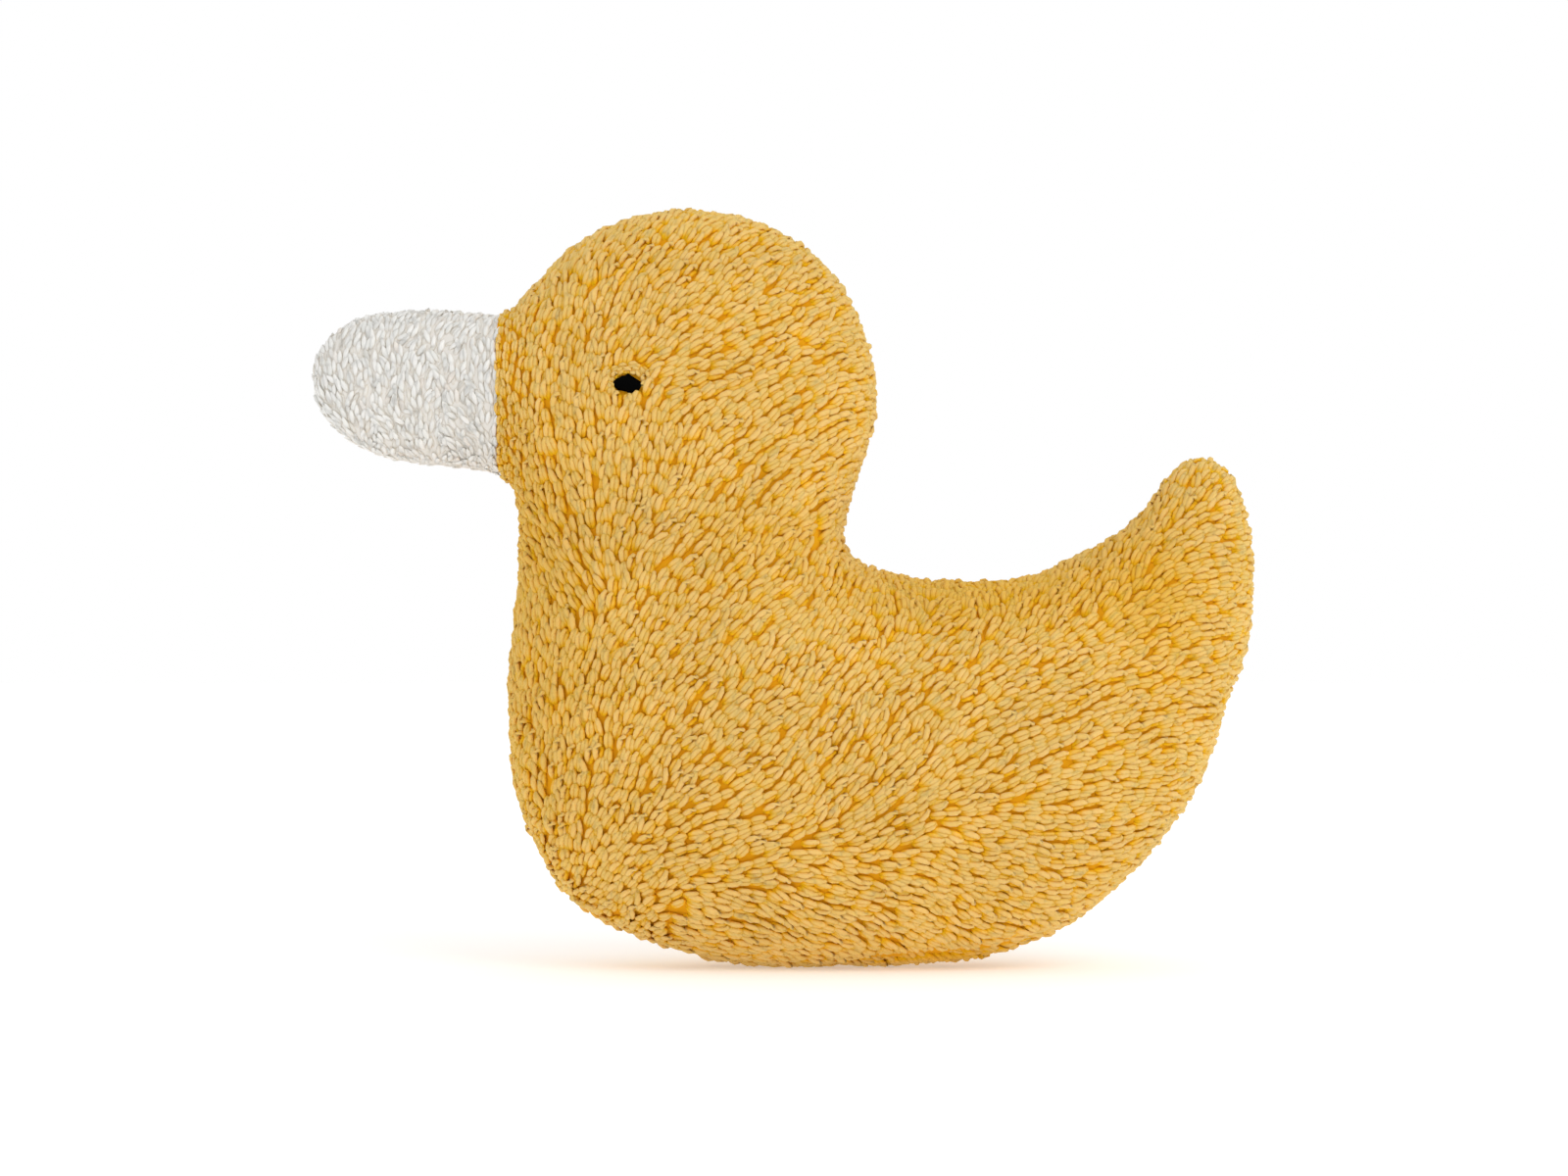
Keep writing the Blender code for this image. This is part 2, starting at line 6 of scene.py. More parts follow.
import bmesh
import bpy
import numpy as np
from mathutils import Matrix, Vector
from mathutils.bvhtree import BVHTree
from mathutils.geometry import delaunay_2d_cdt
from mathutils.interpolate import poly_3d_calc

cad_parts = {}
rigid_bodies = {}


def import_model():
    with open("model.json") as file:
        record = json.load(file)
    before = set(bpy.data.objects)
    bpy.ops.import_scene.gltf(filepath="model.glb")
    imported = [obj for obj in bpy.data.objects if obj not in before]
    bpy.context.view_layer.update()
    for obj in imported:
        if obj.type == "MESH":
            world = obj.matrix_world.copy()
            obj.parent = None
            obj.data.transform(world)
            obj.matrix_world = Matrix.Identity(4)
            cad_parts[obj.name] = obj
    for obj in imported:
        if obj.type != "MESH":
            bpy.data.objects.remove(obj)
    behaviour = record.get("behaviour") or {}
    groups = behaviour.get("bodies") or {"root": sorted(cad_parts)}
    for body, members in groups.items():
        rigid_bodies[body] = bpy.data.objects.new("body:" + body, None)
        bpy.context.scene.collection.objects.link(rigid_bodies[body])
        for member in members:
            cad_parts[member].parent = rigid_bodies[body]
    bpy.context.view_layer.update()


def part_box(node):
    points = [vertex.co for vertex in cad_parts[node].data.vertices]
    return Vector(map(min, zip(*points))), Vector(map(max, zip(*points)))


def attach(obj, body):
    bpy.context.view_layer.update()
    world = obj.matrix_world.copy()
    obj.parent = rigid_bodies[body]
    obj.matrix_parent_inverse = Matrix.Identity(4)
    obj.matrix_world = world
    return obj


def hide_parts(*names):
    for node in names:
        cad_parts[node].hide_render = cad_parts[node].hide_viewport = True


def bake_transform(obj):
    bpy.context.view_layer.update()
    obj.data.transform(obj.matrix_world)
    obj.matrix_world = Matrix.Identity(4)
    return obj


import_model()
print("stage: frame loaded")

mm = 0.001

# The swollen form, in millimetres and shares of its own parts, as the solids have it to
# within a millimetre
form = {
    "bodyLength": 175.3, "bodyHeight": 99.3, "bodyThickness": 70.0, "footCut": 0.5,
    "tailLength": 54.9, "tailRise": 27.7, "tailFootShare": 0.919,
    "headLength": 87.4, "headHeight": 77.9, "headThickness": 58.0,
    "beakLength": 44.9, "beakHeight": 37.8, "beakThickness": 29.0, "beakAxisShare": 0.448,
    "seamHalf": 0.8,
}
beakShares = (
    (0.071, -0.509), (0.250, -0.476), (0.454, -0.452), (0.633, -0.409), (0.811, -0.306),
    (0.939, -0.148), (0.995, 0.045), (0.974, 0.215), (0.888, 0.355), (0.735, 0.458),
    (0.531, 0.497), (0.276, 0.500), (0.046, 0.479),
)
headShares = (
    (0.018, 0.705), (0.045, 0.740), (0.089, 0.784), (0.141, 0.849), (0.209, 0.907),
    (0.298, 0.957), (0.398, 0.988), (0.500, 0.999), (0.605, 0.984), (0.709, 0.946),
    (0.801, 0.890), (0.880, 0.811), (0.940, 0.705), (0.979, 0.587), (1.000, 0.458),
    (0.995, 0.358), (0.969, 0.256), (0.940, 0.153), (0.919, 0.065),
)
backShares = (
    (0.455, 1.002), (0.460, 0.982), (0.470, 0.963), (0.486, 0.947), (0.510, 0.933),
    (0.554, 0.917), (0.598, 0.911), (0.645, 0.912),
)
tailShares = (
    (0.000, 0.000), (0.117, 0.066), (0.250, 0.198), (0.417, 0.372), (0.521, 0.554),
    (0.588, 0.727), (0.646, 0.893), (0.721, 0.992), (0.808, 0.988), (0.887, 0.893),
    (0.950, 0.678), (0.988, 0.347), (1.000, -0.041), (0.988, -0.438), (0.958, -0.727),
)
bellyShares = (
    (0.970, 0.643), (0.948, 0.518), (0.920, 0.409), (0.884, 0.316), (0.838, 0.223),
    (0.785, 0.140), (0.728, 0.076), (0.671, 0.038), (0.615, 0.018), (0.543, 0.007),
    (0.452, 0.002), (0.373, 0.000), (0.302, 0.010), (0.243, 0.032), (0.183, 0.065),
    (0.129, 0.108), (0.080, 0.164), (0.051, 0.248), (0.026, 0.339), (0.009, 0.436),
    (0.004, 0.546), (0.004, 0.661), (0.009, 0.764), (0.014, 0.856), (0.017, 0.947),
    (0.018, 1.000),
)
throatShares = ((0.033, 0.070), (0.026, 0.129), (0.003, 0.170))


def outlinePoints():
    long, tall, foot = form["bodyLength"], form["bodyHeight"], form["footCut"]
    head = 0, tall, form["headLength"], form["headHeight"]
    beakZ, tailZ = tall + form["beakAxisShare"] * form["headHeight"], form["tailFootShare"] * tall
    return np.array([(x + u * wide, z + v * high) for shares, (x, z, wide, high) in (
        (beakShares, (0, beakZ, -form["beakLength"], form["beakHeight"])),
        (headShares, head), (backShares, (0, 0, long, tall)),
        (tailShares, (long - form["tailLength"], tailZ, form["tailLength"], form["tailRise"])),
        (bellyShares, (0, -foot, long, tall + foot)), (throatShares, head),
    ) for u, v in shares])


def smoothLoop(points, steps=16):
    before, after, beyond = (np.roll(points, move, 0) for move in (1, -1, -2))
    curve = []
    for step in range(steps):
        t = step / steps
        curve.append(0.5 * (2 * points + t * (after - before)
                            + t**2 * (2 * before - 5 * points + 4 * after - beyond)
                            + t**3 * (3 * points - before - 3 * after + beyond)))
    return np.stack(curve, 1).reshape(-1, 2)


def evenLoop(curve, spacing):
    closed = np.vstack([curve, curve[:1]])
    along = np.concatenate([[0], np.cumsum(np.linalg.norm(np.diff(closed, axis=0), axis=1))])
    wanted = np.linspace(0, along[-1], int(round(along[-1] / spacing)), endpoint=False)
    return np.stack([np.interp(wanted, along, closed[:, i]) for i in range(2)], 1)


def inward(curve):
    along = np.roll(curve, -1, 0) - np.roll(curve, 1, 0)
    along /= np.linalg.norm(along, axis=1)[:, None]
    return np.stack([along[:, 1], -along[:, 0]], 1)


def distanceTo(points, curve):
    return np.min(np.linalg.norm(points[:, None] - curve[None], axis=2), axis=1)


def insideLoop(points, loop):
    x, z = points[:, :1], points[:, 1:]
    ax, az = loop[:, 0], loop[:, 1]
    bx, bz = np.roll(ax, -1), np.roll(az, -1)
    crosses = (az > z) != (bz > z)
    level = np.where(bz == az, 1, bz - az)
    return (np.sum(crosses & (x < ax + (z - az) / level * (bx - ax)), axis=1) % 2) == 1


def ease(value):
    value = np.clip(value, 0, 1)
    return value * value * (3 - 2 * value)


# How far the skin lies under the loops' tips, and the points that cut it into triangles:
# rings along its edge and an even grid in the middle
skin = {
    "pile": 1.7, "beakPile": 0.5, "edgeStep": 2.6, "fineStep": 0.6, "gridStep": 4.4,
    "gridRow": 0.866, "rings": (0.5, 1.5, 3.2, 5.8), "ringGrowth": 0.1, "ringRoom": 0.95,
    "seamShare": 0.6,
}
# How the swelling passes from the body to the head, and from the head to the beak
passing = {
    "neck": 3, "neckShift": 0.5, "nape": 4, "behind": 1.3, "beak": 3, "beakShift": 0.8, "full": 0.9,
}
beakLine = {
    "x": -66.3, "bow": 0.5, "z": 134.0, "half": 19.0, "fade": 3.0, "reach": 30,
}
# Heights above which a place may be the beak's, is combed beside it, or is the head's
above = {"beak": 110, "combed": 108, "head": 100}


def beakEdge(z):
    # Where the pale cloth begins, at a height
    share = (z - beakLine["z"]) / beakLine["half"]
    return beakLine["x"] + beakLine["bow"] * share * share


def pileDepth(points):
    # Less under the beak's short pile
    x, z = points.T
    pale = ease((beakEdge(z) + beakLine["fade"] / 2 - x) / beakLine["fade"]) * (z > above["beak"])
    return (skin["pile"] + (skin["beakPile"] - skin["pile"]) * pale)[:, None]


class Panel:
    # One flat panel of the skin, and how far an even pressure lifts each of its points

    def __init__(self, curve, shift):
        edge = evenLoop(curve, skin["edgeStep"])
        edge = edge + inward(edge) * pileDepth(edge)
        self.edgeCount = len(edge)
        fine = evenLoop(edge, skin["fineStep"])
        layers = [edge]
        for ring in skin["rings"]:
            loop = evenLoop(edge, skin["edgeStep"] * (1 + skin["ringGrowth"] * ring))
            moved = loop + inward(loop) * ring
            layers.append(moved[distanceTo(moved, fine) > skin["ringRoom"] * ring])
        low, high, step = edge.min(0), edge.max(0), skin["gridStep"]
        grid = np.array([
            (x, z)
            for row, z in enumerate(np.arange(low[1], high[1], step * skin["gridRow"]))
            for x in np.arange(low[0] + (row % 2) * step / 2, high[0], step)
        ])
        grid = grid[insideLoop(grid, edge)]
        layers.append(grid[distanceTo(grid, fine) > skin["rings"][-1] + step / 2])
        self.points = np.vstack(layers)
        flat = [Vector(p) for p in self.points]
        found = delaunay_2d_cdt(flat, [], [list(range(self.edgeCount))], 1, 1e-5)
        index = [members[0] for members in found[3]]
        self.faces = [tuple(index[corner] for corner in face) for face in found[2]]
        self.swell()
        self.puff(shift)

    def swell(self):
        count = len(self.points)
        stiffness, area = np.zeros((count, count)), np.zeros(count)
        faces = np.array(self.faces)
        p = self.points[faces]
        a, b = p[:, 1] - p[:, 0], p[:, 2] - p[:, 0]
        twice = np.abs(a[:, 0] * b[:, 1] - a[:, 1] * b[:, 0])
        for turn in range(3):
            i, j, k = faces[:, turn], faces[:, turn - 2], faces[:, turn - 1]
            a, b = self.points[i] - self.points[k], self.points[j] - self.points[k]
            weight = np.sum(a * b, axis=1) / twice / 2
            np.add.at(stiffness, (i, j), -weight)
            np.add.at(stiffness, (j, i), -weight)
            np.add.at(stiffness, (i, i), weight)
            np.add.at(stiffness, (j, j), weight)
            np.add.at(area, i, twice / 6)
        free = slice(self.edgeCount, count)
        lift = np.zeros(count)
        lift[free] = np.linalg.solve(stiffness[free, free], area[free])
        self.round = np.sqrt(2 * np.maximum(lift, 0))

    def puff(self, shift):
        x, z = self.points.T
        neck, nape = form["headHeight"] / passing["neck"], form["headLength"] / passing["nape"]
        head = ease((z - form["bodyHeight"]) / neck + passing["neckShift"])
        head *= ease((shift + form["headLength"] * passing["behind"] - x) / nape)
        root = form["beakLength"] / passing["beak"]
        beak = ease((shift - x) / root + passing["beakShift"]) * head
        half = 0
        for weight, thickness, pile in (
            (1 - head, form["bodyThickness"], skin["pile"]),
            (head - beak, form["headThickness"], skin["pile"]),
            (beak, form["beakThickness"], skin["beakPile"]),
        ):
            widest = np.max(self.round[weight > passing["full"]])
            half = half + weight * (thickness / 2 - pile - form["seamHalf"]) / widest
        self.half = half * self.round

    def corners(self, side):
        y = side * (form["seamHalf"] * skin["seamShare"] + self.half)
        return [Vector((x, y[i], z)) for i, (x, z) in enumerate(self.points)]


curve = smoothLoop(outlinePoints())
shift = -(curve[:, 0].min() + curve[:, 0].max()) / 2
curve[:, 0] += shift
panel = Panel(curve, shift)
print("stage: skin panel of", len(panel.points), "points")


def newThing(name, data):
    thing = bpy.data.objects.new(name, data)
    bpy.context.collection.objects.link(thing)
    return thing


def newObject(name, corners, faces, scale=mm):
    mesh = bpy.data.meshes.new(name)
    mesh.from_pydata([tuple(c * scale for c in corner) for corner in corners], [], faces)
    mesh.shade_smooth()
    return newThing(name, mesh)


def closeUp(thing, material, cuts=()):
    # Cuts a mesh across the duck, turns its faces outwards and paints it
    work = bmesh.new()
    work.from_mesh(thing.data)
    for x, way in cuts:
        if x is not None:
            bmesh.ops.bisect_plane(work, geom=work.verts[:] + work.edges[:] + work.faces[:],
                                   plane_co=(x * mm, 0, 0), plane_no=(way, 0, 0),
                                   clear_outer=True)
    bmesh.ops.recalc_face_normals(work, faces=work.faces)
    work.to_mesh(thing.data)
    work.free()
    thing.data.materials.append(material)


def tubeFaces(base, spans, sides):
    faces = []
    for i in range(spans):
        here, ahead = base + i * sides, base + (i + 1) * sides
        faces += [(here + s, here + (s + 1) % sides, ahead + (s + 1) % sides, ahead + s)
                  for s in range(sides)]
    return faces


def ringOf(middle, out, up, radius, sides, flat=1):
    turns = [math.tau * s / sides for s in range(sides)]
    return [middle + out * math.cos(turn) * radius + up * math.sin(turn) * radius * flat
            for turn in turns]


class Sheet:
    # One side of the skin in space

    def __init__(self, side):
        self.side = side
        self.corners = panel.corners(side)
        self.faces = [face if side < 0 else tuple(reversed(face)) for face in panel.faces]
        self.tree = BVHTree.FromPolygons(self.corners, self.faces)
        normals = np.zeros((len(self.corners), 3))
        for face in self.faces:
            a, b, c = (self.corners[i] for i in face)
            normal = (b - a).cross(c - a)
            for i in face:
                normals[i] += normal
        flip = np.sign(np.sum(normals[:, 1]) * side)
        self.normals = [Vector(n).normalized() * flip for n in normals]

    def nearest(self, place):
        hit, _, index, distance = self.tree.find_nearest(place)
        face = self.faces[index]
        weights = poly_3d_calc([self.corners[i] for i in face], hit)
        normal = Vector()
        for i, weight in zip(face, weights):
            normal += self.normals[i] * weight
        return hit, normal.normalized(), distance

    def facing(self, x, z):
        # The skin straight behind a point of the side view, if there is any
        hit = self.tree.ray_cast(Vector((x, self.side * 100, z)), Vector((0, -self.side, 0)))[0]
        return self.nearest(hit)[:2] if hit else None

    def scatter(self, rng, count):
        picks, shares = rng.integers(0, len(self.faces), count), rng.dirichlet((1, 1, 1), count)
        return [sum((self.corners[i] * part for i, part in zip(self.faces[pick], share)), Vector())
                for pick, share in zip(picks, shares)]


class Cells:
    # Things kept by their place, so that near ones are found fast

    def __init__(self, size):
        self.size, self.kept = size, {}

    def key(self, place):
        return tuple(int(math.floor(c / self.size)) for c in place)

    def keep(self, place, thing):
        self.kept.setdefault(self.key(place), []).append(thing)

    def near(self, place):
        cx, cy, cz = self.key(place)
        for i in (cx - 1, cx, cx + 1):
            for j in (cy - 1, cy, cy + 1):
                for k in (cz - 1, cz, cz + 1):
                    yield from self.kept.get((i, j, k), ())


eyeMove = Vector((0.7, 0, -0.7))  # from the solid's middle to where the photograph has it
eyeCentre = (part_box("eye_left")[0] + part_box("eye_left")[1]) / 2 / mm + eyeMove

# Which way the pile is combed: x, z in millimetres and the tips' direction in degrees
combing = (
    (-62, 148, 80), (-65, 134, 90), (-64, 120, 95), (-55, 157, 72), (-46, 166, 62),
    (-27, 174, 50), (-9, 174, 35), (7, 164, 30), (19, 148, 22), (21, 130, 18), (16, 111, 28),
    (12, 101, 40), (0, 150, 32), (-9, 162, 38), (-23, 157, 50), (-23, 146, 38), (-36, 150, 62),
    (-46, 148, 70), (-48, 134, 85), (-42, 140, 78), (-40, 127, 90), (-33, 127, 80),
    (-25, 135, 18), (-14, 136, 20), (-9, 123, 42), (-23, 120, 62), (-36, 116, 85),
    (-50, 116, 100), (-57, 107, 105), (-58, 93, 115), (-46, 88, 112), (-59, 79, 92),
    (-60, 61, 88), (-58, 43, 86), (-52, 29, 80), (-46, 52, 84), (-46, 70, 75), (-34, 79, 62),
    (-23, 98, 55), (-9, 102, 48), (5, 93, 55), (16, 91, 62), (-23, 77, 50), (-9, 84, 45),
    (-9, 65, 48), (-23, 56, 52), (-34, 38, 60), (-36, 20, 50), (-27, 27, 28), (-14, 43, 35),
    (0, 65, 52), (14, 77, 58), (14, 56, 58), (7, 43, 45), (-9, 29, 15), (-18, 13, -10),
    (0, 15, -20), (14, 20, -12), (23, 36, 40), (30, 52, 50), (30, 68, 42), (37, 79, 40),
    (28, 86, 100), (44, 88, 108), (60, 86, 60), (69, 88, 50), (78, 91, 60), (83, 104, 62),
    (88, 111, 58), (95, 116, 50), (103, 114, 30), (107, 102, 12), (101, 98, 15), (92, 95, 25),
    (80, 79, 28), (99, 79, 12), (107, 84, 8), (103, 65, 12), (92, 61, 12), (69, 65, 22),
    (51, 68, 30), (53, 52, 30), (73, 45, 12), (87, 43, 12), (92, 33, 15), (76, 24, 15),
    (64, 29, -2), (46, 27, -8), (35, 24, -15), (37, 13, -28), (55, 15, -15), (64, 11, 0),
    (23, 11, -25),
)
beakCombing = (
    (-106, 134, 105), (-103, 123, 115), (-101, 141, 85), (-91, 146, 75), (-91, 134, 95),
    (-91, 123, 110), (-87, 116, 120), (-80, 148, 60), (-80, 134, 85), (-80, 120, 100),
    (-71, 146, 80), (-71, 134, 95), (-71, 123, 110),
)
pile = {
    "marks": combing, "pale": False, "seed": 4,
    "row": 2.7,  # between rows of loops
    "stride": 3.15,  # between loops along a row
    "length": 4.2,
    "step": 0.65,
    # A row ends where another is nearer than this share of the spacing, and one may begin
    # where the nearest is the other share away; the second pair is for filling the gaps
    "crowd": (0.72, 0.5), "loose": (0.74, 0.6),
    "wander": 6.0,  # degrees, how far tufts stray from the combing
    "waves": (9, 30),
    "jitter": 7.0,  # degrees, each loop by itself
    "cover": 1.25,  # a spot this far from every loop gets one more, in millimetres
    "beside": 4.0, "offset": 0.75,  # along the beak's seam: how far it combs, and its own row
    "rim": 0.16,  # how much larger the loops are where the cloth turns to the seam
    "root": 0.34,  # how much smaller they are beside the beak
}
beakPile = {
    "marks": beakCombing, "pale": True, "seed": 11, "row": 1.35, "stride": 2.3, "length": 3.8,
    "step": 0.5, "crowd": (0.7, 0.5), "loose": (0.72, 0.6), "wander": 18.0, "waves": (6, 16),
    "jitter": 18.0, "cover": 0.68, "beside": 1.5, "offset": -0.65, "rim": 0.0, "root": 0.0,
}
# How the combing spreads from the marks over a grid of one millimetre, and strays
combed = {"margin": 3, "soft": 6, "waves": 14, "stray": 0.7, "beside": 1.3, "leastLevel": 0.2}
# How rows grow: places tried in each stage, steps each way, how many of its own marks a row
# may be near, the share of a step that ends it, steps from one new row beside it to the next,
# and the shares of the spacing that are free there and may lie off the skin
growing = {
    "seeds": (9000, 16000), "steps": 90, "own": 7, "stall": 0.6, "branch": 3,
    "free": (0.95, 0.93), "off": 0.5,
}
# How loops are laid, in shares of their length, the stride or the row's spacing
laying = {
    "shortest": 0.34, "chord": 0.9, "upright": 1.2, "least": 0.5, "tall": (0.85, 1.15),
    "edgeTall": 0.65, "first": (-0.3, 0.35), "last": 0.3, "sway": 0.045, "gap": (0.86, 1.14),
    "spots": 30000, "back": 0.55, "marks": (0.3, 0.5, 0.75, 1.0), "rootFade": 14,
}


def inSpace(flat):
    return Vector((flat[0], 0, flat[1]))


def laidOn(chord, normal):
    return (chord - normal * chord.dot(normal)).normalized()


class Field:
    # The combing direction at every place of one side

    def __init__(self, values, side):
        self.side, rng = side, np.random.default_rng(values["seed"])
        self.low = curve.min(0) - combed["margin"]
        size = (curve.max(0) - self.low + (combed["margin"] + 1)).astype(int)
        x, z = np.meshgrid(*(self.low[i] + np.arange(size[i]) for i in range(2)), indexing="ij")
        marks = np.array(values["marks"], float)
        far = (x[..., None] - marks[:, 0])**2 + (z[..., None] - marks[:, 1])**2
        weight = 1 / (far + combed["soft"])**2
        turn = np.radians(marks[:, 2])
        angle = np.arctan2((weight * np.sin(turn)).sum(-1), (weight * np.cos(turn)).sum(-1))
        stray = np.zeros(x.shape)
        for _ in range(combed["waves"]):
            wave, lead = rng.uniform(*values["waves"]), rng.uniform(0, math.tau, 2)
            stray += np.sin(math.tau / wave * (x * math.cos(lead[0]) + z * math.sin(lead[0]))
                            + lead[1])
        angle += np.radians(values["wander"]) * stray / np.std(stray) * combed["stray"]
        beside = ease(combed["beside"] - np.abs(x - beakEdge(z)) / values["beside"])
        angle += (math.pi / 2 - angle) * beside * (z > above["combed"])
        self.cos, self.sin = np.cos(angle), np.sin(angle)

    def at(self, place, normal):
        i, j = int(place.x - self.low[0] + 0.5), int(place.z - self.low[1] + 0.5)
        flat = inSpace((self.cos[i, j], self.sin[i, j]))
        flat.y = -flat.dot(normal) / (self.side * max(abs(normal.y), combed["leastLevel"]))
        return laidOn(flat, normal)


def coarseness(place, normal, values):
    # Finer beside the beak, coarser towards the seam
    near = 0
    if place.z > above["head"]:
        near = ease(1 - (place.x - beakEdge(place.z)) / laying["rootFade"])
    return 1 - values["root"] * near + values["rim"] * (1 - abs(normal.y))


class Rows:
    # Rows of loops that follow the combing and keep an even distance from each other

    def __init__(self, sheet, values):
        self.sheet, self.values, self.rows, self.laid = sheet, values, [], []
        self.combing = Field(values, sheet.side).at
        self.marks, self.covered = Cells(values["row"]), Cells(2)

    def allowed(self, place):
        pale = place.x < beakEdge(place.z) and place.z > above["beak"]
        return pale == self.values["pale"]

    def spacing(self, place, normal):
        return self.values["row"] * coarseness(place, normal, self.values)

    def crowded(self, place, limit, row=-1, count=0):
        square = limit * limit
        for x, y, z, other, number in self.marks.near(place):
            if other == row and abs(number - count) < growing["own"]:
                continue
            if ((x - place.x)**2 + (y - place.y)**2 + (z - place.z)**2) < square:
                return True
        return False

    def mark(self, place, row, number):
        self.marks.keep(place, (place.x, place.y, place.z, row, number))

    def grow(self, start):
        step, row = self.values["step"], len(self.rows)
        place, normal, _ = self.sheet.nearest(start)
        if not self.allowed(place):
            return ()
        found = [(place, normal)]
        self.mark(place, row, 0)
        for way in (1, -1):
            place, normal = found[0]
            for number in range(1, growing["steps"]):
                along = self.combing(place, normal) * way * step
                ahead, normal, _ = self.sheet.nearest(place + along)
                if (ahead - place).length < growing["stall"] * step or not self.allowed(ahead):
                    break
                limit = self.spacing(ahead, normal) * self.crowd
                if self.crowded(ahead, limit, row, way * number):
                    break
                place = ahead
                self.mark(place, row, way * number)
                found.insert(len(found) if way > 0 else 0, (place, normal))
        self.rows.append(found)
        return found

    def besideBeak(self):
        # A row along the seam between the beak and the head
        values, found = self.values, []
        low, high = (beakLine["z"] + way * beakLine["reach"] for way in (-1, 1))
        for z in np.arange(low, high, values["step"]):
            spot = self.sheet.facing(beakEdge(z) + values["offset"], z)
            if spot:
                self.mark(spot[0], len(self.rows), len(found))
                found.append(spot)
        self.rows.append(found)

    def fill(self, rng, stage):
        self.crowd, self.loose = self.values["crowd"][stage], self.values["loose"][stage]
        queue = []
        for seed in self.sheet.scatter(rng, growing["seeds"][stage]):
            limit = self.spacing(seed, self.sheet.nearest(seed)[1])
            if self.allowed(seed) and not self.crowded(seed, limit * self.loose):
                queue.append(self.grow(seed))
            while queue:
                found = queue.pop(0)
                for place, normal in found[::growing["branch"]] if stage == 0 else ():
                    across = normal.cross(self.combing(place, normal))
                    limit = self.spacing(place, normal)
                    for way in (1, -1):
                        beside = place + across * way * limit
                        if self.crowded(beside, limit * growing["free"][0]):
                            continue
                        near, _, off = self.sheet.nearest(beside)
                        if off < limit * growing["off"] and self.allowed(near):
                            if not self.crowded(near, limit * growing["free"][1]):
                                queue.append(self.grow(near))

    def put(self, place, normal, along, length, wide, tall):
        # A loop is its place, normal, direction and size
        self.laid.append((place, normal, along, (length / self.values["length"], wide, tall)))
        for share in laying["marks"]:
            spot = place + along * length * share
            self.covered.keep(spot, spot)

    def lay(self, rng, place, normal):
        # One loop along the skin from its root, if the eye and the seams leave room
        values = self.values
        along = self.combing(place, normal)
        turn = math.radians(rng.normal(0, values["jitter"]))
        along = along * math.cos(turn) + normal.cross(along) * math.sin(turn)
        size = coarseness(place, normal, values)
        shift, length = clearOfEye(place, along, values["length"] * size)
        if shift:
            place, normal, _ = self.sheet.nearest(place + along * shift)
        length = shortOfSeam(place, along, length)
        if length < laying["shortest"] * size * values["length"]:
            return
        tip, tipNormal, _ = self.sheet.nearest(place + along * length * laying["chord"])
        chord = (tip - place) / laying["chord"]
        normal = (normal * laying["upright"] + tipNormal).normalized()
        along = laidOn(chord, normal)
        length = max(chord.length, laying["least"] * length)
        low = laying["edgeTall"]
        tall = size * rng.uniform(*laying["tall"]) * (low + (1 - low) * abs(normal.y))
        dip = seamDip(place) if place.z < closing["below"] else 0
        place, tall = place - normal * closing["sunk"] * dip, tall * (1 - closing["shrink"] * dip)
        self.put(place, normal, along, length, size, tall)

    def ringEye(self):
        # Along the eye's edge, from below on both sides up to its top
        for start, stop, count, move, scale in eyeRoom["arcs"]:
            ring = [axis * scale for axis in eyeRoom["ring"]]
            turns = [math.radians(start + (stop - start) * i / count) for i in range(count + 1)]
            spots = [self.sheet.facing(eyeCentre.x + move + ring[0] * math.cos(turn),
                                       eyeCentre.z + ring[1] * math.sin(turn)) for turn in turns]
            for (place, normal), (ahead, _) in zip(spots, spots[1:]):
                chord = ahead - place
                self.put(place, normal, laidOn(chord, normal), chord.length * eyeRoom["overlap"],
                         eyeRoom["size"], eyeRoom["size"] * eyeRoom["tall"])

    def followSeam(self):
        # In the seam between the two sides, a little lower than the others
        edge = evenLoop(panel.points[:panel.edgeCount], self.values["stride"] * seamRow["stride"])
        for spot, ahead, inner in zip(edge, np.roll(edge, -1, 0), inward(edge)):
            normal = -inSpace(inner)
            place = inSpace(spot) - normal * seamRow["sunk"]
            if not self.allowed(place):
                continue
            chord = inSpace(ahead - spot)
            if self.combing(place, normal).dot(chord) < 0:
                chord.negate()
            self.put(place, normal, laidOn(chord, normal), chord.length * seamRow["overlap"],
                     seamRow["wide"], seamRow["tall"])

    def bare(self, place):
        limit = self.values["cover"]**2
        return not any((spot - place).length_squared < limit for spot in self.covered.near(place))

    def layAll(self, rng):
        values = self.values
        if self.allowed(eyeCentre):
            self.ringEye()
        if self.sheet.side < 0:
            self.followSeam()
        per = values["stride"] / values["step"]
        for found in filter(None, self.rows):
            spot = rng.uniform(*laying["first"]) * per
            while spot < len(found) - laying["last"] * per:
                place, normal = found[max(0, int(spot))]
                if spot < 0:
                    along = self.combing(place, normal)
                    place, normal, _ = self.sheet.nearest(place + along * spot * values["step"])
                side = normal.cross(self.combing(place, normal))
                place = place + side * rng.normal(0, laying["sway"] * values["row"])
                self.lay(rng, place, normal)
                spot += per * coarseness(place, normal, values) * rng.uniform(*laying["gap"])
        for place in self.sheet.scatter(rng, laying["spots"]):
            if not self.allowed(place) or not self.bare(place) or overEye(place, eyeRoom["tip"]):
                continue
            normal = self.sheet.nearest(place)[1]
            back = laying["back"] * values["length"] * coarseness(place, normal, values)
            place, normal, _ = self.sheet.nearest(place - self.combing(place, normal) * back)
            if self.allowed(place):
                self.lay(rng, place, normal)


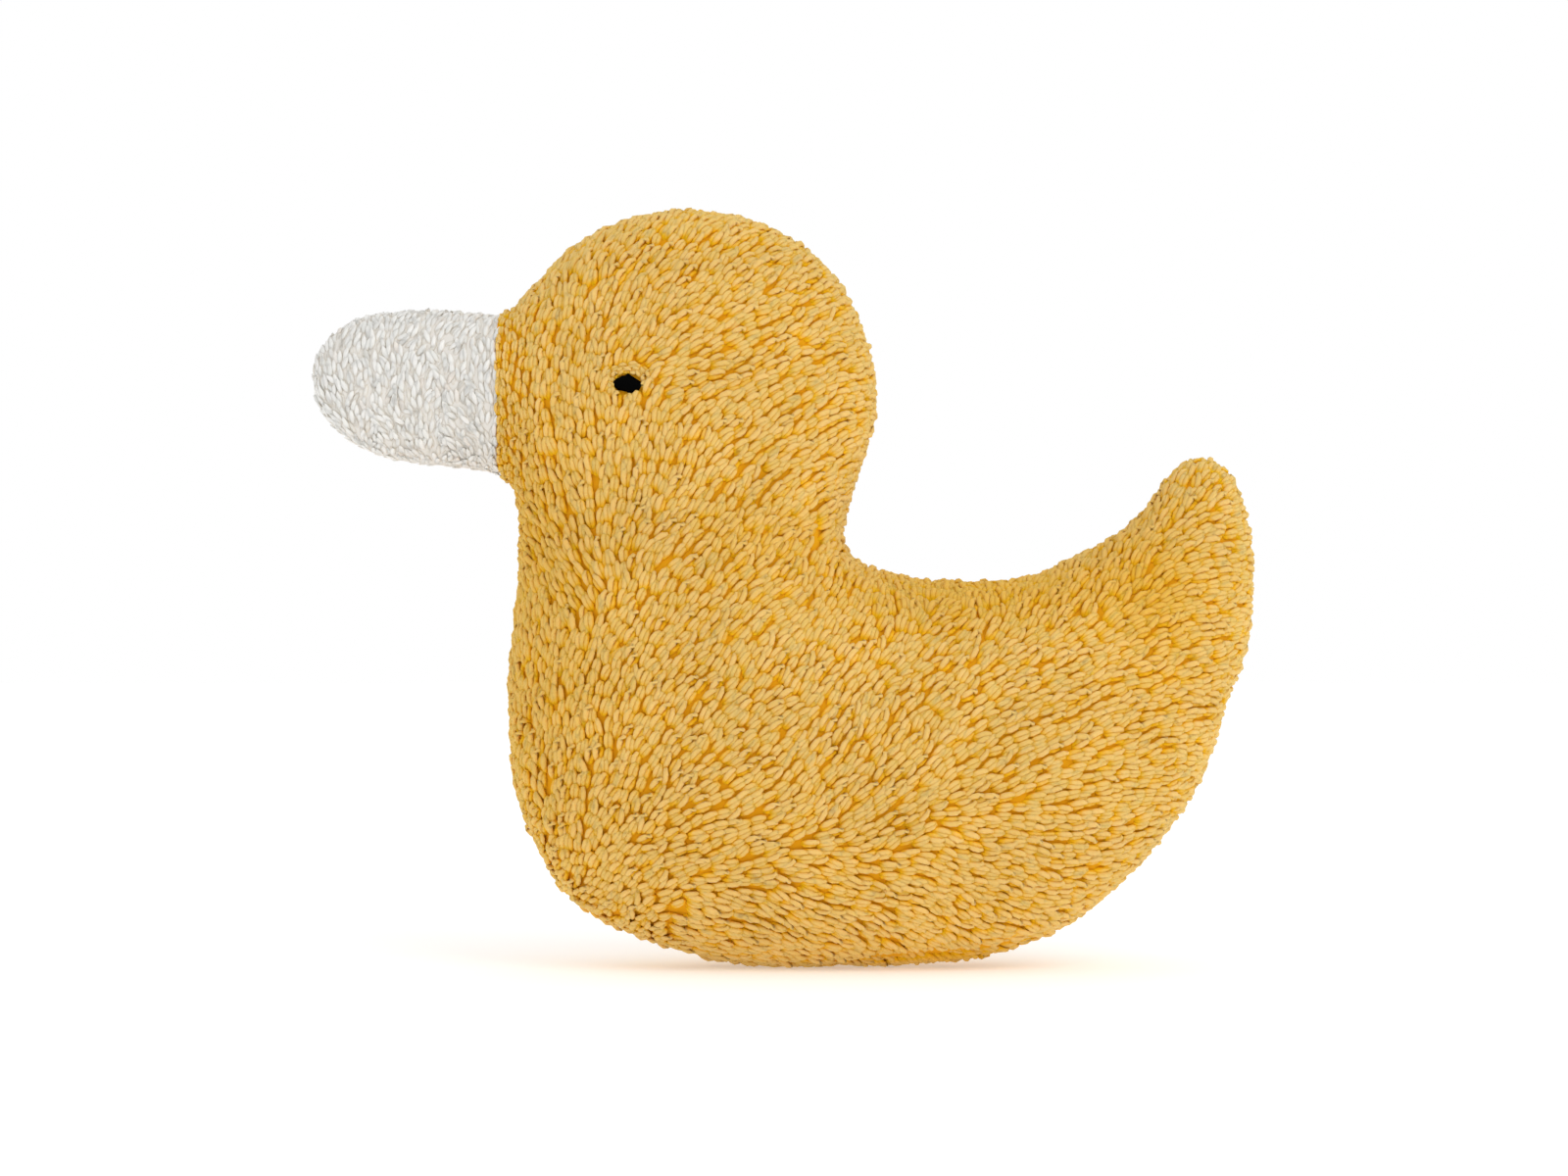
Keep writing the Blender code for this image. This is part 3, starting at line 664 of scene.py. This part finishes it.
# One loop of yarn: a fat hairpin that leans along its row, wide near its rounded tip
hairpin = {
    "path": ((0.0, 0.12, -0.50), (0.9, 0.40, 0.26), (2.1, 0.52, 0.74), (3.3, 0.48, 0.84),
             (4.2, 0.20, 0.56)),
    "radius": (0.42, 0.61, 0.66, 0.64, 0.53), "kinds": 9, "stray": 0.24, "flat": 0.95,
    "twist": (-50, 90),  # degrees that the strands turn round each other
    "strands": (1, -1), "seed": 3,
}
# A loop of the beak's finer pile, which lies nearly flat
tuft = {
    "path": ((0.0, 0.0, -0.30), (1.0, 0.0, 0.0), (2.0, 0.0, 0.12), (3.0, 0.0, 0.20),
             (3.8, 0.0, 0.16)),
    "radius": (0.24, 0.54, 0.70, 0.56, 0.16), "kinds": 7, "stray": 0.26, "flat": 0.5,
    "twist": (0, 0), "strands": (1,), "seed": 5,
}
# How far strands stray in height and to a side, and where they cross
strand = {"lift": 0.5, "sway": 1.6, "cross": 0.35, "sides": 6}
eyeRoom = {
    "root": (4.5, 3.4), "tip": (3.9, 2.85), "step": 0.3, "shift": 1.5,
    # The loops that lie along its edge: semi-axes of their line, and arcs in degrees, each
    # with a count, a move to the right and a scale
    "ring": (3.65, 2.7), "overlap": 1.25, "size": 0.72, "tall": 1.1,
    "arcs": ((215, 60, 6, 0.0, 1.0), (-35, 55, 3, 0.35, 1.0), (165, 75, 4, 0.1, 1.42),
             (-30, 72, 5, 0.3, 1.42)),
}
seamRow = {"stride": 0.9, "sunk": 0.25, "overlap": 1.35, "wide": 1.15, "tall": 0.9}
# The hand-closed edge of the belly, and how far the loops beside it sink and shrink
closing = {
    "line": ((10.0, 2.6), (21.0, 4.0), (30.0, 5.2), (45.0, 5.6), (58.0, 7.6)),
    "reach": 1.5, "sunk": 1.0, "shrink": 0.35, "below": 15,
}


def overEye(place, room):
    across, up = (place.x - eyeCentre.x) / room[0], (place.z - eyeCentre.z) / room[1]
    return across * across + up * up < 1 and place.z > above["head"]


def clearOfEye(place, along, length):
    # How far a root moves to clear the eye, and how much of its loop stays off it
    shift = 0
    while overEye(place + along * shift, eyeRoom["root"]):
        shift += eyeRoom["step"]
        if shift > eyeRoom["shift"]:
            return 0, 0
    reach = eyeRoom["step"]
    while reach < length:
        if overEye(place + along * (shift + reach), eyeRoom["tip"]):
            return shift, reach - eyeRoom["step"]
        reach += eyeRoom["step"]
    return shift, length


def shortOfSeam(place, along, length):
    # As much of the length as doesn't cross the hand-closed edge
    line = closing["line"]
    for (ax, az), (bx, bz) in zip(line, line[1:]):
        across = along.x * (bz - az) - along.z * (bx - ax)
        if abs(across) < 1e-6:
            continue
        reach = ((ax - place.x) * (bz - az) - (az - place.z) * (bx - ax)) / across
        share = ((ax - place.x) * along.z - (az - place.z) * along.x) / across
        if 0 < reach < length and 0 <= share <= 1:
            length = reach
    return length


def seamDip(place):
    # How deep a place lies in the groove of that edge, as a share
    line, spot, nearest = np.array(closing["line"]), (place.x, place.z), closing["reach"]
    for a, b in zip(line, line[1:]):
        share = np.clip((spot - a) @ (b - a) / ((b - a) @ (b - a)), 0, 1)
        nearest = min(nearest, np.linalg.norm(spot - a - (b - a) * share))
    return ease(1 - nearest / closing["reach"])


def yarnShapes(name, values):
    # Loops with small differences, each with a map along its yarn
    rng = np.random.default_rng(values["seed"])
    group = bpy.data.collections.new(name)
    sides = strand["sides"]
    leg = [(Vector(p), r) for p, r in zip(values["path"], values["radius"])]
    for kind in range(values["kinds"]):
        sway = rng.normal(0, values["stray"], 3)
        twist = math.radians(rng.uniform(*values["twist"]))
        path = []
        for way in values["strands"]:
            lift = 1 + way * sway[2] * strand["lift"]
            for p, r in leg[::way]:
                share = p.x / leg[-1][0].x
                turn = twist * (share - strand["cross"])
                y, z = way * p.y * math.cos(turn), way * p.y * math.sin(turn)
                path.append((Vector((p.x, y + sway[0] * share * strand["sway"],
                                     p.z * lift + z + way * sway[1] * share)), r))
        corners, spans = [], len(path) - 1
        lean = (path[2][0] - path[0][0]).normalized()
        plane = lean.cross(Vector((0, 1, 0))).normalized()
        for i, (p, r) in enumerate(path):
            ahead = path[min(i + 1, spans)][0] - path[max(i - 1, 0)][0]
            out = ahead.cross(plane).normalized()
            up = out.cross(ahead).normalized()
            corners += ringOf(p, out, up, r, sides, values["flat"])
        maps = [((i + u) / spans, (s + v) / sides) for i in range(spans) for s in range(sides)
                for u, v in ((0, 0), (0, 1), (1, 1), (1, 0))]
        thing = newObject(f"{name}{kind}", corners, tubeFaces(0, spans, sides))
        bpy.context.collection.objects.unlink(thing)
        uv = thing.data.uv_layers.new(name="yarn")
        uv.data.foreach_set("uv", np.array(maps, np.float32).ravel())
        lift = thing.data.attributes.new("lift", "FLOAT", "POINT")
        lift.data.foreach_set("value", np.array([c.z for c in corners], np.float32))
        group.objects.link(thing)
    return group


def feed(tree, node, inputs):
    # Sets inputs, by name or number, to plain values or to other nodes' outputs
    for key, value in inputs.items():
        if isinstance(value, bpy.types.NodeSocket):
            tree.links.new(value, node.inputs[key])
        else:
            node.inputs[key].default_value = value


def addNode(tree, kind, inputs, give=0, **settings):
    # One node with its settings and inputs, and the output that is wanted of it
    node = tree.nodes.new(kind)
    for name, value in settings.items():
        setattr(node, name, value)
    feed(tree, node, inputs)
    return node.outputs[give]


def maths(tree, operation, *values):
    return addNode(tree, "ShaderNodeMath", dict(enumerate(values)), operation=operation)


def newTree(name, kind, given, made):
    # A node group with its sockets: the tree, what it is given, and the node of its results
    tree = bpy.data.node_groups.new(name, kind + "NodeTree")
    for way, sockets in (("INPUT", given), ("OUTPUT", made)):
        for label, socket in sockets.items():
            tree.interface.new_socket(label, in_out=way, socket_type="NodeSocket" + socket)
    return tree, tree.nodes.new("NodeGroupInput").outputs, tree.nodes.new("NodeGroupOutput")


def plantTree():
    # Stands one of the shapes on every point, turned and scaled as the point says
    tree, given, result = newTree("PlantLoops", "Geometry", {
        "Points": "Geometry", "Shapes": "Collection", "Material": "Material",
        "Size Spread": "Float", "Tone Spread": "Float", "Seed": "Int"}, {"Loops": "Geometry"})

    def named(label, kind="FLOAT_VECTOR"):
        return addNode(tree, "GeometryNodeInputNamedAttribute", {"Name": label}, "Attribute",
                       data_type=kind)

    def aroundOne(spread, seedStep):
        return addNode(tree, "FunctionNodeRandomValue", {
            2: maths(tree, "SUBTRACT", 1, given[spread]), 3: maths(tree, "ADD", 1, given[spread]),
            "Seed": maths(tree, "ADD", given["Seed"], seedStep)}, 1, data_type="FLOAT")

    turn = addNode(tree, "FunctionNodeAxesToRotation", {0: named("up"), 1: named("along")},
                   primary_axis="Z", secondary_axis="X")
    scale = addNode(tree, "ShaderNodeVectorMath", {
        0: named("size"), "Scale": aroundOne("Size Spread", 1)}, operation="SCALE")
    shapes = addNode(tree, "GeometryNodeCollectionInfo", {
        "Collection": given["Shapes"], "Separate Children": True, "Reset Children": True})
    stand = addNode(tree, "GeometryNodeInstanceOnPoints", {
        "Points": given["Points"], "Instance": shapes, "Pick Instance": True,
        "Instance Index": named("kind", "INT"), "Rotation": turn, "Scale": scale})
    tone = addNode(tree, "GeometryNodeStoreNamedAttribute", {
        "Geometry": stand, "Name": "tone", "Value": aroundOne("Tone Spread", 2)},
        data_type="FLOAT", domain="INSTANCE")
    real = addNode(tree, "GeometryNodeRealizeInstances", {0: tone})
    feed(tree, result, {0: addNode(tree, "GeometryNodeSetMaterial", {
        "Geometry": real, "Material": given["Material"]})})
    return tree


def valuesOf(items, field, width=1, kind=np.float32):
    values = np.zeros(len(items) * width, kind)
    items.foreach_get(field, values)
    return values.reshape(-1, width) if width > 1 else values


# How far loops that reach near the seam between beak and head may lean over it
seamPress = {"over": 0.35, "reach": 5.0}
planting = {"seed": 40, "sizeSpread": 0.09}
tileShares = (0.06, 0.88)  # of a loop's square on its map: the margin, and what the yarn takes
# Where painted shade darkens the pile and gives it more of the root's colour: x, z, reach in x and
# z, how much
paintedShadeSpots = {
    "spots": ((-62, 60, 22, 45, 0.28), (-62, 100, 14, 20, 0.3), (45, 86, 34, 9, 0.5),
              (-5, 98, 16, 8, 0.25), (83, 84, 9, 18, 0.4), (35, 4.2, 13, 1.5, 0.7)),
    "most": 0.7,
}


# Painted shade: how much of it each loop gets, from where its root lies
def paintedShadeAt(places):
    x, z = places[:, 0], places[:, 2]
    paintedShade = sum(much * np.exp(-((x - cx) / rx)**2 - ((z - cz) / rz)**2)
               for cx, cz, rx, rz, much in paintedShadeSpots["spots"])
    return np.clip(paintedShade, 0, paintedShadeSpots["most"])


def plant(name, loops, shapes, material, seed, toneSpread):
    # The loops as one plain mesh, each with a square of its own on a map
    roots, normals, directions, sizes = (list(column) for column in zip(*loops))
    thing = newObject(name, roots, [])
    rng = np.random.default_rng(seed)
    for label, kind, values in (
        ("up", "FLOAT_VECTOR", normals), ("along", "FLOAT_VECTOR", directions),
        ("size", "FLOAT_VECTOR", sizes),
        ("kind", "INT", rng.integers(0, len(shapes.objects), len(loops))),
        ("tile", "FLOAT", range(len(loops))), ("paintedShade", "FLOAT", paintedShadeAt(np.array(roots))),
    ):
        layer = thing.data.attributes.new(label, kind, "POINT")
        values = np.array(values, np.int32 if kind == "INT" else np.float32)
        layer.data.foreach_set("vector" if kind == "FLOAT_VECTOR" else "value", values.ravel())
    modifier = thing.modifiers.new("plant", "NODES")
    modifier.node_group = planter
    for label, value in {"Shapes": shapes, "Material": material, "Seed": seed,
                         "Size Spread": planting["sizeSpread"],
                         "Tone Spread": toneSpread}.items():
        modifier[planter.interface.items_tree[label].identifier] = value
    graph = bpy.context.evaluated_depsgraph_get()
    made = bpy.data.meshes.new_from_object(thing.evaluated_get(graph),
                                           preserve_all_data_layers=True, depsgraph=graph)
    thing.modifiers.clear()
    thing.data = made
    made.name = name
    places = valuesOf(made.vertices, "co", 3)
    places[:, 2] = np.maximum(places[:, 2], 0)  # the pile is pressed flat by the floor
    # and by the seam between the beak and the head
    x, z = places[:, 0] / mm, places[:, 2] / mm
    over, edge = seamPress["over"], beakEdge(z)
    reached = (z > above["beak"]) & (np.abs(x - edge) < seamPress["reach"])
    held = np.minimum(x, edge + over) if name.startswith("beak") else np.maximum(x, edge - over)
    places[:, 0] = np.where(reached, held, x) * mm
    made.vertices.foreach_set("co", places.ravel())
    tiles = valuesOf(made.attributes["tile"].data, "value")
    tile = tiles[valuesOf(made.loops, "vertex_index", 1, np.int32)].round().astype(int)
    across = math.ceil(math.sqrt(len(loops)))
    yarn = tileShares[1] * valuesOf(made.uv_layers["yarn"].data, "uv", 2)
    place = (np.stack([tile % across, tile // across], 1) + tileShares[0] + yarn) / across
    bake = made.uv_layers.new(name="OFBake")
    bake.data.foreach_set("uv", place.astype(np.float32).ravel())
    for label in ("up", "along", "size", "kind", "tile"):
        made.attributes.remove(made.attributes[label])
    return thing


# Colours are linear. "heights" are where the root's colour gives way to the tips'; that deeper,
# saturated colour low in each loop is partly the yarn's own and partly painted shade in the furrows
# between loops. "blotch" is the scale and strength of soft spots, and "flecks" the tints of a few
# loops, with the tones where they begin and are full
yellowLook = {
    "tips": ((0.79, 0.527, 0.15), (0.80, 0.53, 0.185)), "root": (0.88, 0.462, 0.0045),
    "skin": (0.78, 0.37, 0.005), "heights": (0.58, 1.42), "blotch": (45, 0.05), "plies": 0.35,
    "flecks": (), "toneSpread": 0.03,
    "shader": {"Subsurface Radius": (0.7, 0.7, 0.7), "Sheen Weight": 0.3},
}
paleLook = {
    "tips": ((0.89, 0.885, 0.84), (0.92, 0.905, 0.865)), "root": (0.80, 0.73, 0.62),
    "skin": (0.78, 0.75, 0.70), "heights": (-0.1, 0.55), "blotch": (330, 0.05), "plies": 0.15,
    "flecks": (((0.82, 0.75, 0.67), 1.046, 1.05), ((0.60, 0.56, 0.49), 0.951, 0.949)),
    "toneSpread": 0.05, "shader": {"Subsurface Radius": (1.5, 1.5, 1.5), "Sheen Weight": 0.1},
}
yarnLook = {
    # "dim": how far the painted shade darkens the whole loop
    "tones": (0.96, 1.04), "spots": (0.3, 0.7), "spotDetail": 2, "paintedShadeDim": -0.15,
    "plyDepth": 0.00012, "plies": 2, "turns": 5.0,
    # Light seeps through the loose yarn
    "shader": {"Roughness": 0.85, "Specular IOR Level": 0.08, "Subsurface Weight": 0.4,
               "Subsurface Scale": 0.0012, "Sheen Roughness": 0.5},
}
clothLook = {"Roughness": 0.95, "Specular IOR Level": 0.2}
threadLook = {"Roughness": 0.6, "Specular IOR Level": 0.02}
black, white = (0.001, 0.001, 0.001), (1, 1, 1, 1)


def noiseGroup():
    # A mask of soft spots from object coordinates, shared by both piles
    tree, given, result = newTree("SoftSpots", "Shader", {"Size": "Float"}, {"Mask": "Float"})
    feed(tree, result, {"Mask": addNode(tree, "ShaderNodeTexNoise", {
        "Vector": addNode(tree, "ShaderNodeTexCoord", {}, "Object"), "Scale": given["Size"],
        "Detail": yarnLook["spotDetail"]}, "Fac")})
    return tree


def yarnGroup():
    # Height of the twisted plies from the yarn's own map
    tree, _, result = newTree("YarnPlies", "Shader", {}, {"Height": "Float"})
    place = tree.nodes.new("ShaderNodeSeparateXYZ")
    feed(tree, place, {0: addNode(tree, "ShaderNodeUVMap", {}, uv_map="yarn")})
    along = maths(tree, "MULTIPLY", place.outputs[0], yarnLook["turns"])
    turn = maths(tree, "MULTIPLY", maths(tree, "ADD", along, place.outputs[1]),
                 yarnLook["plies"] * math.tau)
    feed(tree, result, {"Height": maths(tree, "SINE", turn)})
    return tree


def clothMaterial(name, colour, inputs):
    material = bpy.data.materials.new(name)
    material.use_nodes = True
    feed(material.node_tree, material.node_tree.nodes["Principled BSDF"],
         {"Base Color": (*colour, 1), **inputs})
    return material


def pileMaterial(name, look):
    first, last = ((*colour, 1) for colour in look["tips"])
    material = clothMaterial(name, look["tips"][0],
                             {"Sheen Tint": first, **yarnLook["shader"], **look["shader"]})
    tree = material.node_tree

    def attribute(label):
        return addNode(tree, "ShaderNodeAttribute", {}, "Fac", attribute_name=label)

    def ramp(value, low, high, least=0, most=1, way="LINEAR"):
        return addNode(tree, "ShaderNodeMapRange", {
            "Value": value, "From Min": low, "From Max": high, "To Min": least, "To Max": most,
        }, "Result", interpolation_type=way)

    def mixed(share, one, other):
        return addNode(tree, "ShaderNodeMix", {"Factor": share, "A": one, "B": other}, "Result",
                       data_type="RGBA")

    tone, paintedShade = attribute("tone"), attribute("paintedShade")
    # Low in each loop the tips' colour fades to the root's: partly the yarn's own colour, partly
    # painted shade between loops
    rise = ramp(attribute("lift"), *look["heights"], way="SMOOTHSTEP")
    # Painted shade: where it is high, less of the tips' colour and more of the deeper root colour
    # shows
    lit = maths(tree, "MULTIPLY", rise, maths(tree, "MULTIPLY_ADD", paintedShade, -1, 1))
    colour = mixed(lit, (*look["root"], 1), mixed(ramp(tone, *yarnLook["tones"]), first, last))
    for tint, start, full in look["flecks"]:
        colour = mixed(ramp(tone, start, full), colour, (*tint, 1))
    size, much = look["blotch"]
    spots = addNode(tree, "ShaderNodeGroup", {"Size": size}, "Mask", node_tree=softSpots)
    drift = ramp(spots, *yarnLook["spots"], 1 - much, 1 + much)
    # Painted shade also darkens the whole loop there
    paintedShadeDim = maths(tree, "MULTIPLY_ADD", paintedShade, yarnLook["paintedShadeDim"], 1)
    bright = maths(tree, "MULTIPLY", maths(tree, "MULTIPLY", tone, drift), paintedShadeDim)
    shade = addNode(tree, "ShaderNodeVectorMath", {0: colour, "Scale": bright}, operation="SCALE")
    plies = addNode(tree, "ShaderNodeGroup", {}, "Height", node_tree=yarnPlies)
    bump = addNode(tree, "ShaderNodeBump", {
        "Strength": look["plies"], "Distance": yarnLook["plyDepth"], "Height": plies})
    feed(tree, tree.nodes["Principled BSDF"], {"Base Color": shade, "Normal": bump})
    return material


softSpots, yarnPlies = noiseGroup(), yarnGroup()
yellowPile = pileMaterial("loopPileYellow", yellowLook)
palePile = pileMaterial("loopPilePale", paleLook)
yellowSkin = clothMaterial("backingYellow", yellowLook["skin"], clothLook)
paleSkin = clothMaterial("backingPale", paleLook["skin"], clothLook)
eyeThread = clothMaterial("eyeThread", black, threadLook)

planter = plantTree()
loopShapes, tuftShapes = yarnShapes("loop", hairpin), yarnShapes("tuft", tuft)

# Where the pieces of cloth are parted
parting = {"rearX": 45.0, "tailX": 72, "neckZ": 99.3, "crownX": -22, "breastX": -24, "backX": 8}


def pieceOf(place):
    if place.x > parting["rearX"]:
        return "tail" if place.x > parting["tailX"] else "rump"
    if place.z > parting["neckZ"]:
        return "head" if place.x < parting["crownX"] else "crown"
    front = "breast" if place.x < parting["breastX"] else "belly"
    return front if place.x < parting["backX"] else "back"


total = 0
for side, label in ((-1, "Left"), (1, "Right")):
    sheet = Sheet(side)
    for values in (pile, beakPile):
        pale, rng = values["pale"], np.random.default_rng(values["seed"] * 10 + side)
        rows = Rows(sheet, values)
        rows.besideBeak()
        rows.fill(rng, 0)
        rows.fill(rng, 1)
        rows.layAll(rng)
        groups = {}
        for loop in rows.laid:
            groups.setdefault("beak" if pale else pieceOf(loop[0]), []).append(loop)
        for part, members in groups.items():
            piece = plant(f"{part}Pile{label}", members, tuftShapes if pale else loopShapes,
                          palePile if pale else yellowPile, planting["seed"] + side,
                          (paleLook if pale else yellowLook)["toneSpread"])
            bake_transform(piece)
            total += len(piece.data.polygons) * 2
            print("piece", piece.name, len(members), "loops", len(piece.data.polygons) * 2)
print("stage: pile planted,", total, "triangles")


def skinPiece(name, low, high, material):
    # The closed skin between two planes across the duck
    start, ring = len(panel.points), panel.edgeCount
    faces = [tuple(face) for face in panel.faces]
    faces += [tuple(start + i for i in reversed(face)) for face in panel.faces]
    faces += [(i, (i + 1) % ring, start + (i + 1) % ring, start + i) for i in range(ring)]
    thing = newObject(name, panel.corners(-1) + panel.corners(1), faces)
    closeUp(thing, material, ((low, -1), (high, 1)))
    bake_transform(thing)
    return thing


frontSkin = skinPiece("frontSkin", beakLine["x"], parting["rearX"], yellowSkin)
rearSkin = skinPiece("rearSkin", parting["rearX"], None, yellowSkin)
beakSkin = skinPiece("beakSkin", None, beakLine["x"], paleSkin)
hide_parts("body_cover_left", "body_cover_right", "body_stuffing",
            "body_seam_back", "body_seam_breast", "body_seam_rump", "head_cover_left",
            "head_cover_right", "head_stuffing", "head_seam_throat", "head_seam_crown",
            "beak_root_seam", "closing_stitch")
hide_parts("tail_cover_left", "tail_cover_right", "tail_stuffing", "tail_seam")
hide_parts("beak_cover_left", "beak_cover_right", "beak_stuffing", "beak_seam")
print("stage: skins")

# The eyes: satin stitches side by side over a black patch. Their ends fray inwards by the
# first value and outwards by the second; "ends" is the share of the radius that is left there,
# and what the middle adds
eyeLook = {
    "length": 6.9, "height": 4.7, "threads": 21, "radius": 0.22, "slant": 62.0, "sides": 6,
    "spans": 6, "bow": 0.35, "rise": 0.95, "inner": 0.94, "fray": (0.1, 0.04), "seat": 0.25,
    "ends": (0.55, 0.45), "swell": 2.2, "patchTop": 0.15, "patchFoot": 0.8, "footShare": 0.9,
    "seed": 21,
}
eyeShares = (
    (-0.50, 0.03), (-0.41, 0.24), (-0.23, 0.39), (-0.10, 0.42), (-0.02, 0.50), (0.17, 0.31),
    (0.37, 0.12), (0.50, -0.09), (0.42, -0.16), (0.31, -0.19), (0.35, -0.31), (0.25, -0.39),
    (0.11, -0.50), (-0.05, -0.42), (-0.23, -0.35), (-0.35, -0.31), (-0.46, -0.16),
)


def spanOf(offset, along, across, shape):
    # The stretch of a slanted line that lies in the eye's outline
    found = []
    for a, b in zip(shape, np.roll(shape, -1, 0)):
        u, v = a @ across - offset, b @ across - offset
        if (u > 0) != (v > 0):
            found.append((a + (b - a) * u / (u - v)) @ along)
    return min(found), max(found)


def makeEye(side, label, node):
    sheet = Sheet(side)
    low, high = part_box(node)
    centre, normal, _ = sheet.nearest((low + high) / 2 / mm + eyeMove)
    right = laidOn(Vector((1, 0, 0)), normal)
    up = right.cross(normal) * side
    centre = centre + normal * eyeLook["rise"]
    shape = np.array(eyeShares) * (eyeLook["length"], eyeLook["height"])
    slant = math.radians(eyeLook["slant"])
    along = np.array((math.cos(slant), math.sin(slant)))
    across = np.array((-along[1], along[0]))
    lane = right * across[0] + up * across[1]
    reach = np.max(np.abs(shape @ across)) * eyeLook["inner"]
    rng = np.random.default_rng(eyeLook["seed"] + side)
    corners, faces = [], []
    sides, spans, ends = eyeLook["sides"], eyeLook["spans"], eyeLook["ends"]
    inwards, outwards = eyeLook["fray"]
    for offset in np.linspace(-reach, reach, eyeLook["threads"]):
        start, stop = spanOf(offset, along, across, shape)
        start += rng.uniform(-outwards, inwards)
        stop += rng.uniform(-inwards, outwards)
        base = len(corners)
        for i in range(spans + 1):
            flat = across * offset + along * (start + (stop - start) * (i / spans))
            arch = math.sin(math.pi * (i / spans))
            middle = (centre + right * flat[0] + up * flat[1]
                      + normal * (eyeLook["bow"] * arch - eyeLook["seat"]))
            thick = eyeLook["radius"] * (ends[0] + ends[1] * min(1, arch * eyeLook["swell"]))
            corners += ringOf(middle, lane, normal, thick, sides)
        faces += tubeFaces(base, spans, sides)
        faces.append(tuple(base + s for s in reversed(range(sides))))
        faces.append(tuple(base + spans * sides + s for s in range(sides)))
    base, count = len(corners), len(shape)
    for share, sunk in ((1, eyeLook["patchTop"]), (eyeLook["footShare"], eyeLook["patchFoot"])):
        corners += [centre + right * u * share + up * v * share - normal * sunk for u, v in shape]
    faces.append(tuple(base + i for i in range(count)))
    faces.append(tuple(base + count + i for i in reversed(range(count))))
    faces += tubeFaces(base, 1, count)
    eye = newObject(f"eye{label}", corners, faces)
    closeUp(eye, eyeThread)
    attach(eye, "head")
    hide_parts(node)


makeEye(-1, "Left", "eye_left")
makeEye(1, "Right", "eye_right")
print("stage: eyes")

# Camera and light as in the photo: level with the duck, from its left side
shot = {"lens": 100.0, "sensor": 36, "across": 0.3662, "x": 0.0002, "z": 0.0884,
        "clip": (0.05, 50)}
scene = bpy.context.scene
camera = newThing("camera", bpy.data.cameras.new("camera"))
camera.data.lens = shot["lens"]
camera.data.sensor_width = shot["sensor"]
camera.location = (shot["x"], -shot["across"] * shot["lens"] / shot["sensor"], shot["z"])
camera.rotation_euler = (math.radians(90), 0, 0)
camera.data.clip_start, camera.data.clip_end = shot["clip"]
scene.camera = camera

lights = {
    "world": 0.8, "backdrop": 1, "keyPlace": (0.7, -0.9, 0.9), "keyAim": (0, 0, 0.09),
    "keySize": 0.9, "keyPower": 4.5,
}
lamp = bpy.data.lights.new("key", "AREA")
lamp.size, lamp.energy = lights["keySize"], lights["keyPower"]
key = newThing("key", lamp)
key.location = lights["keyPlace"]
aim = Vector(lights["keyAim"]) - Vector(lights["keyPlace"])
key.rotation_euler = aim.to_track_quat("-Z", "Y").to_euler()

# The world lights the duck, and is plain white to the camera
world = bpy.data.worlds.new("studio")
scene.world = world
world.use_nodes = True
tree = world.node_tree
sky = tree.nodes["Background"]
feed(tree, sky, {"Strength": lights["world"], "Color": white})
plain = addNode(tree, "ShaderNodeBackground", {"Strength": lights["backdrop"], "Color": white})
rays = tree.nodes.new("ShaderNodeLightPath").outputs
seen = rays["Is Camera Ray"]
for other in ("Is Glossy Ray", "Is Transmission Ray"):
    seen = maths(tree, "MAXIMUM", seen, rays[other])
feed(tree, tree.nodes["World Output"], {
    "Surface": addNode(tree, "ShaderNodeMixShader", {0: seen, 1: sky.outputs[0], 2: plain})})

floorLook = {
    "half": 3, "colour": (0.92, 0.92, 0.92),
    "shader": {"Roughness": 1, "Specular IOR Level": 0, "Emission Color": white,
               "Emission Strength": 0.3},
}
half = floorLook["half"]
floor = newObject("floor", [(-half, -half, 0), (half, -half, 0), (half, half, 0), (-half, half, 0)],
                  [(0, 1, 2, 3)], 1)
floor.data.materials.append(
    clothMaterial("floorPlain", floorLook["colour"], floorLook["shader"]))

scene.view_settings.view_transform = "Standard"
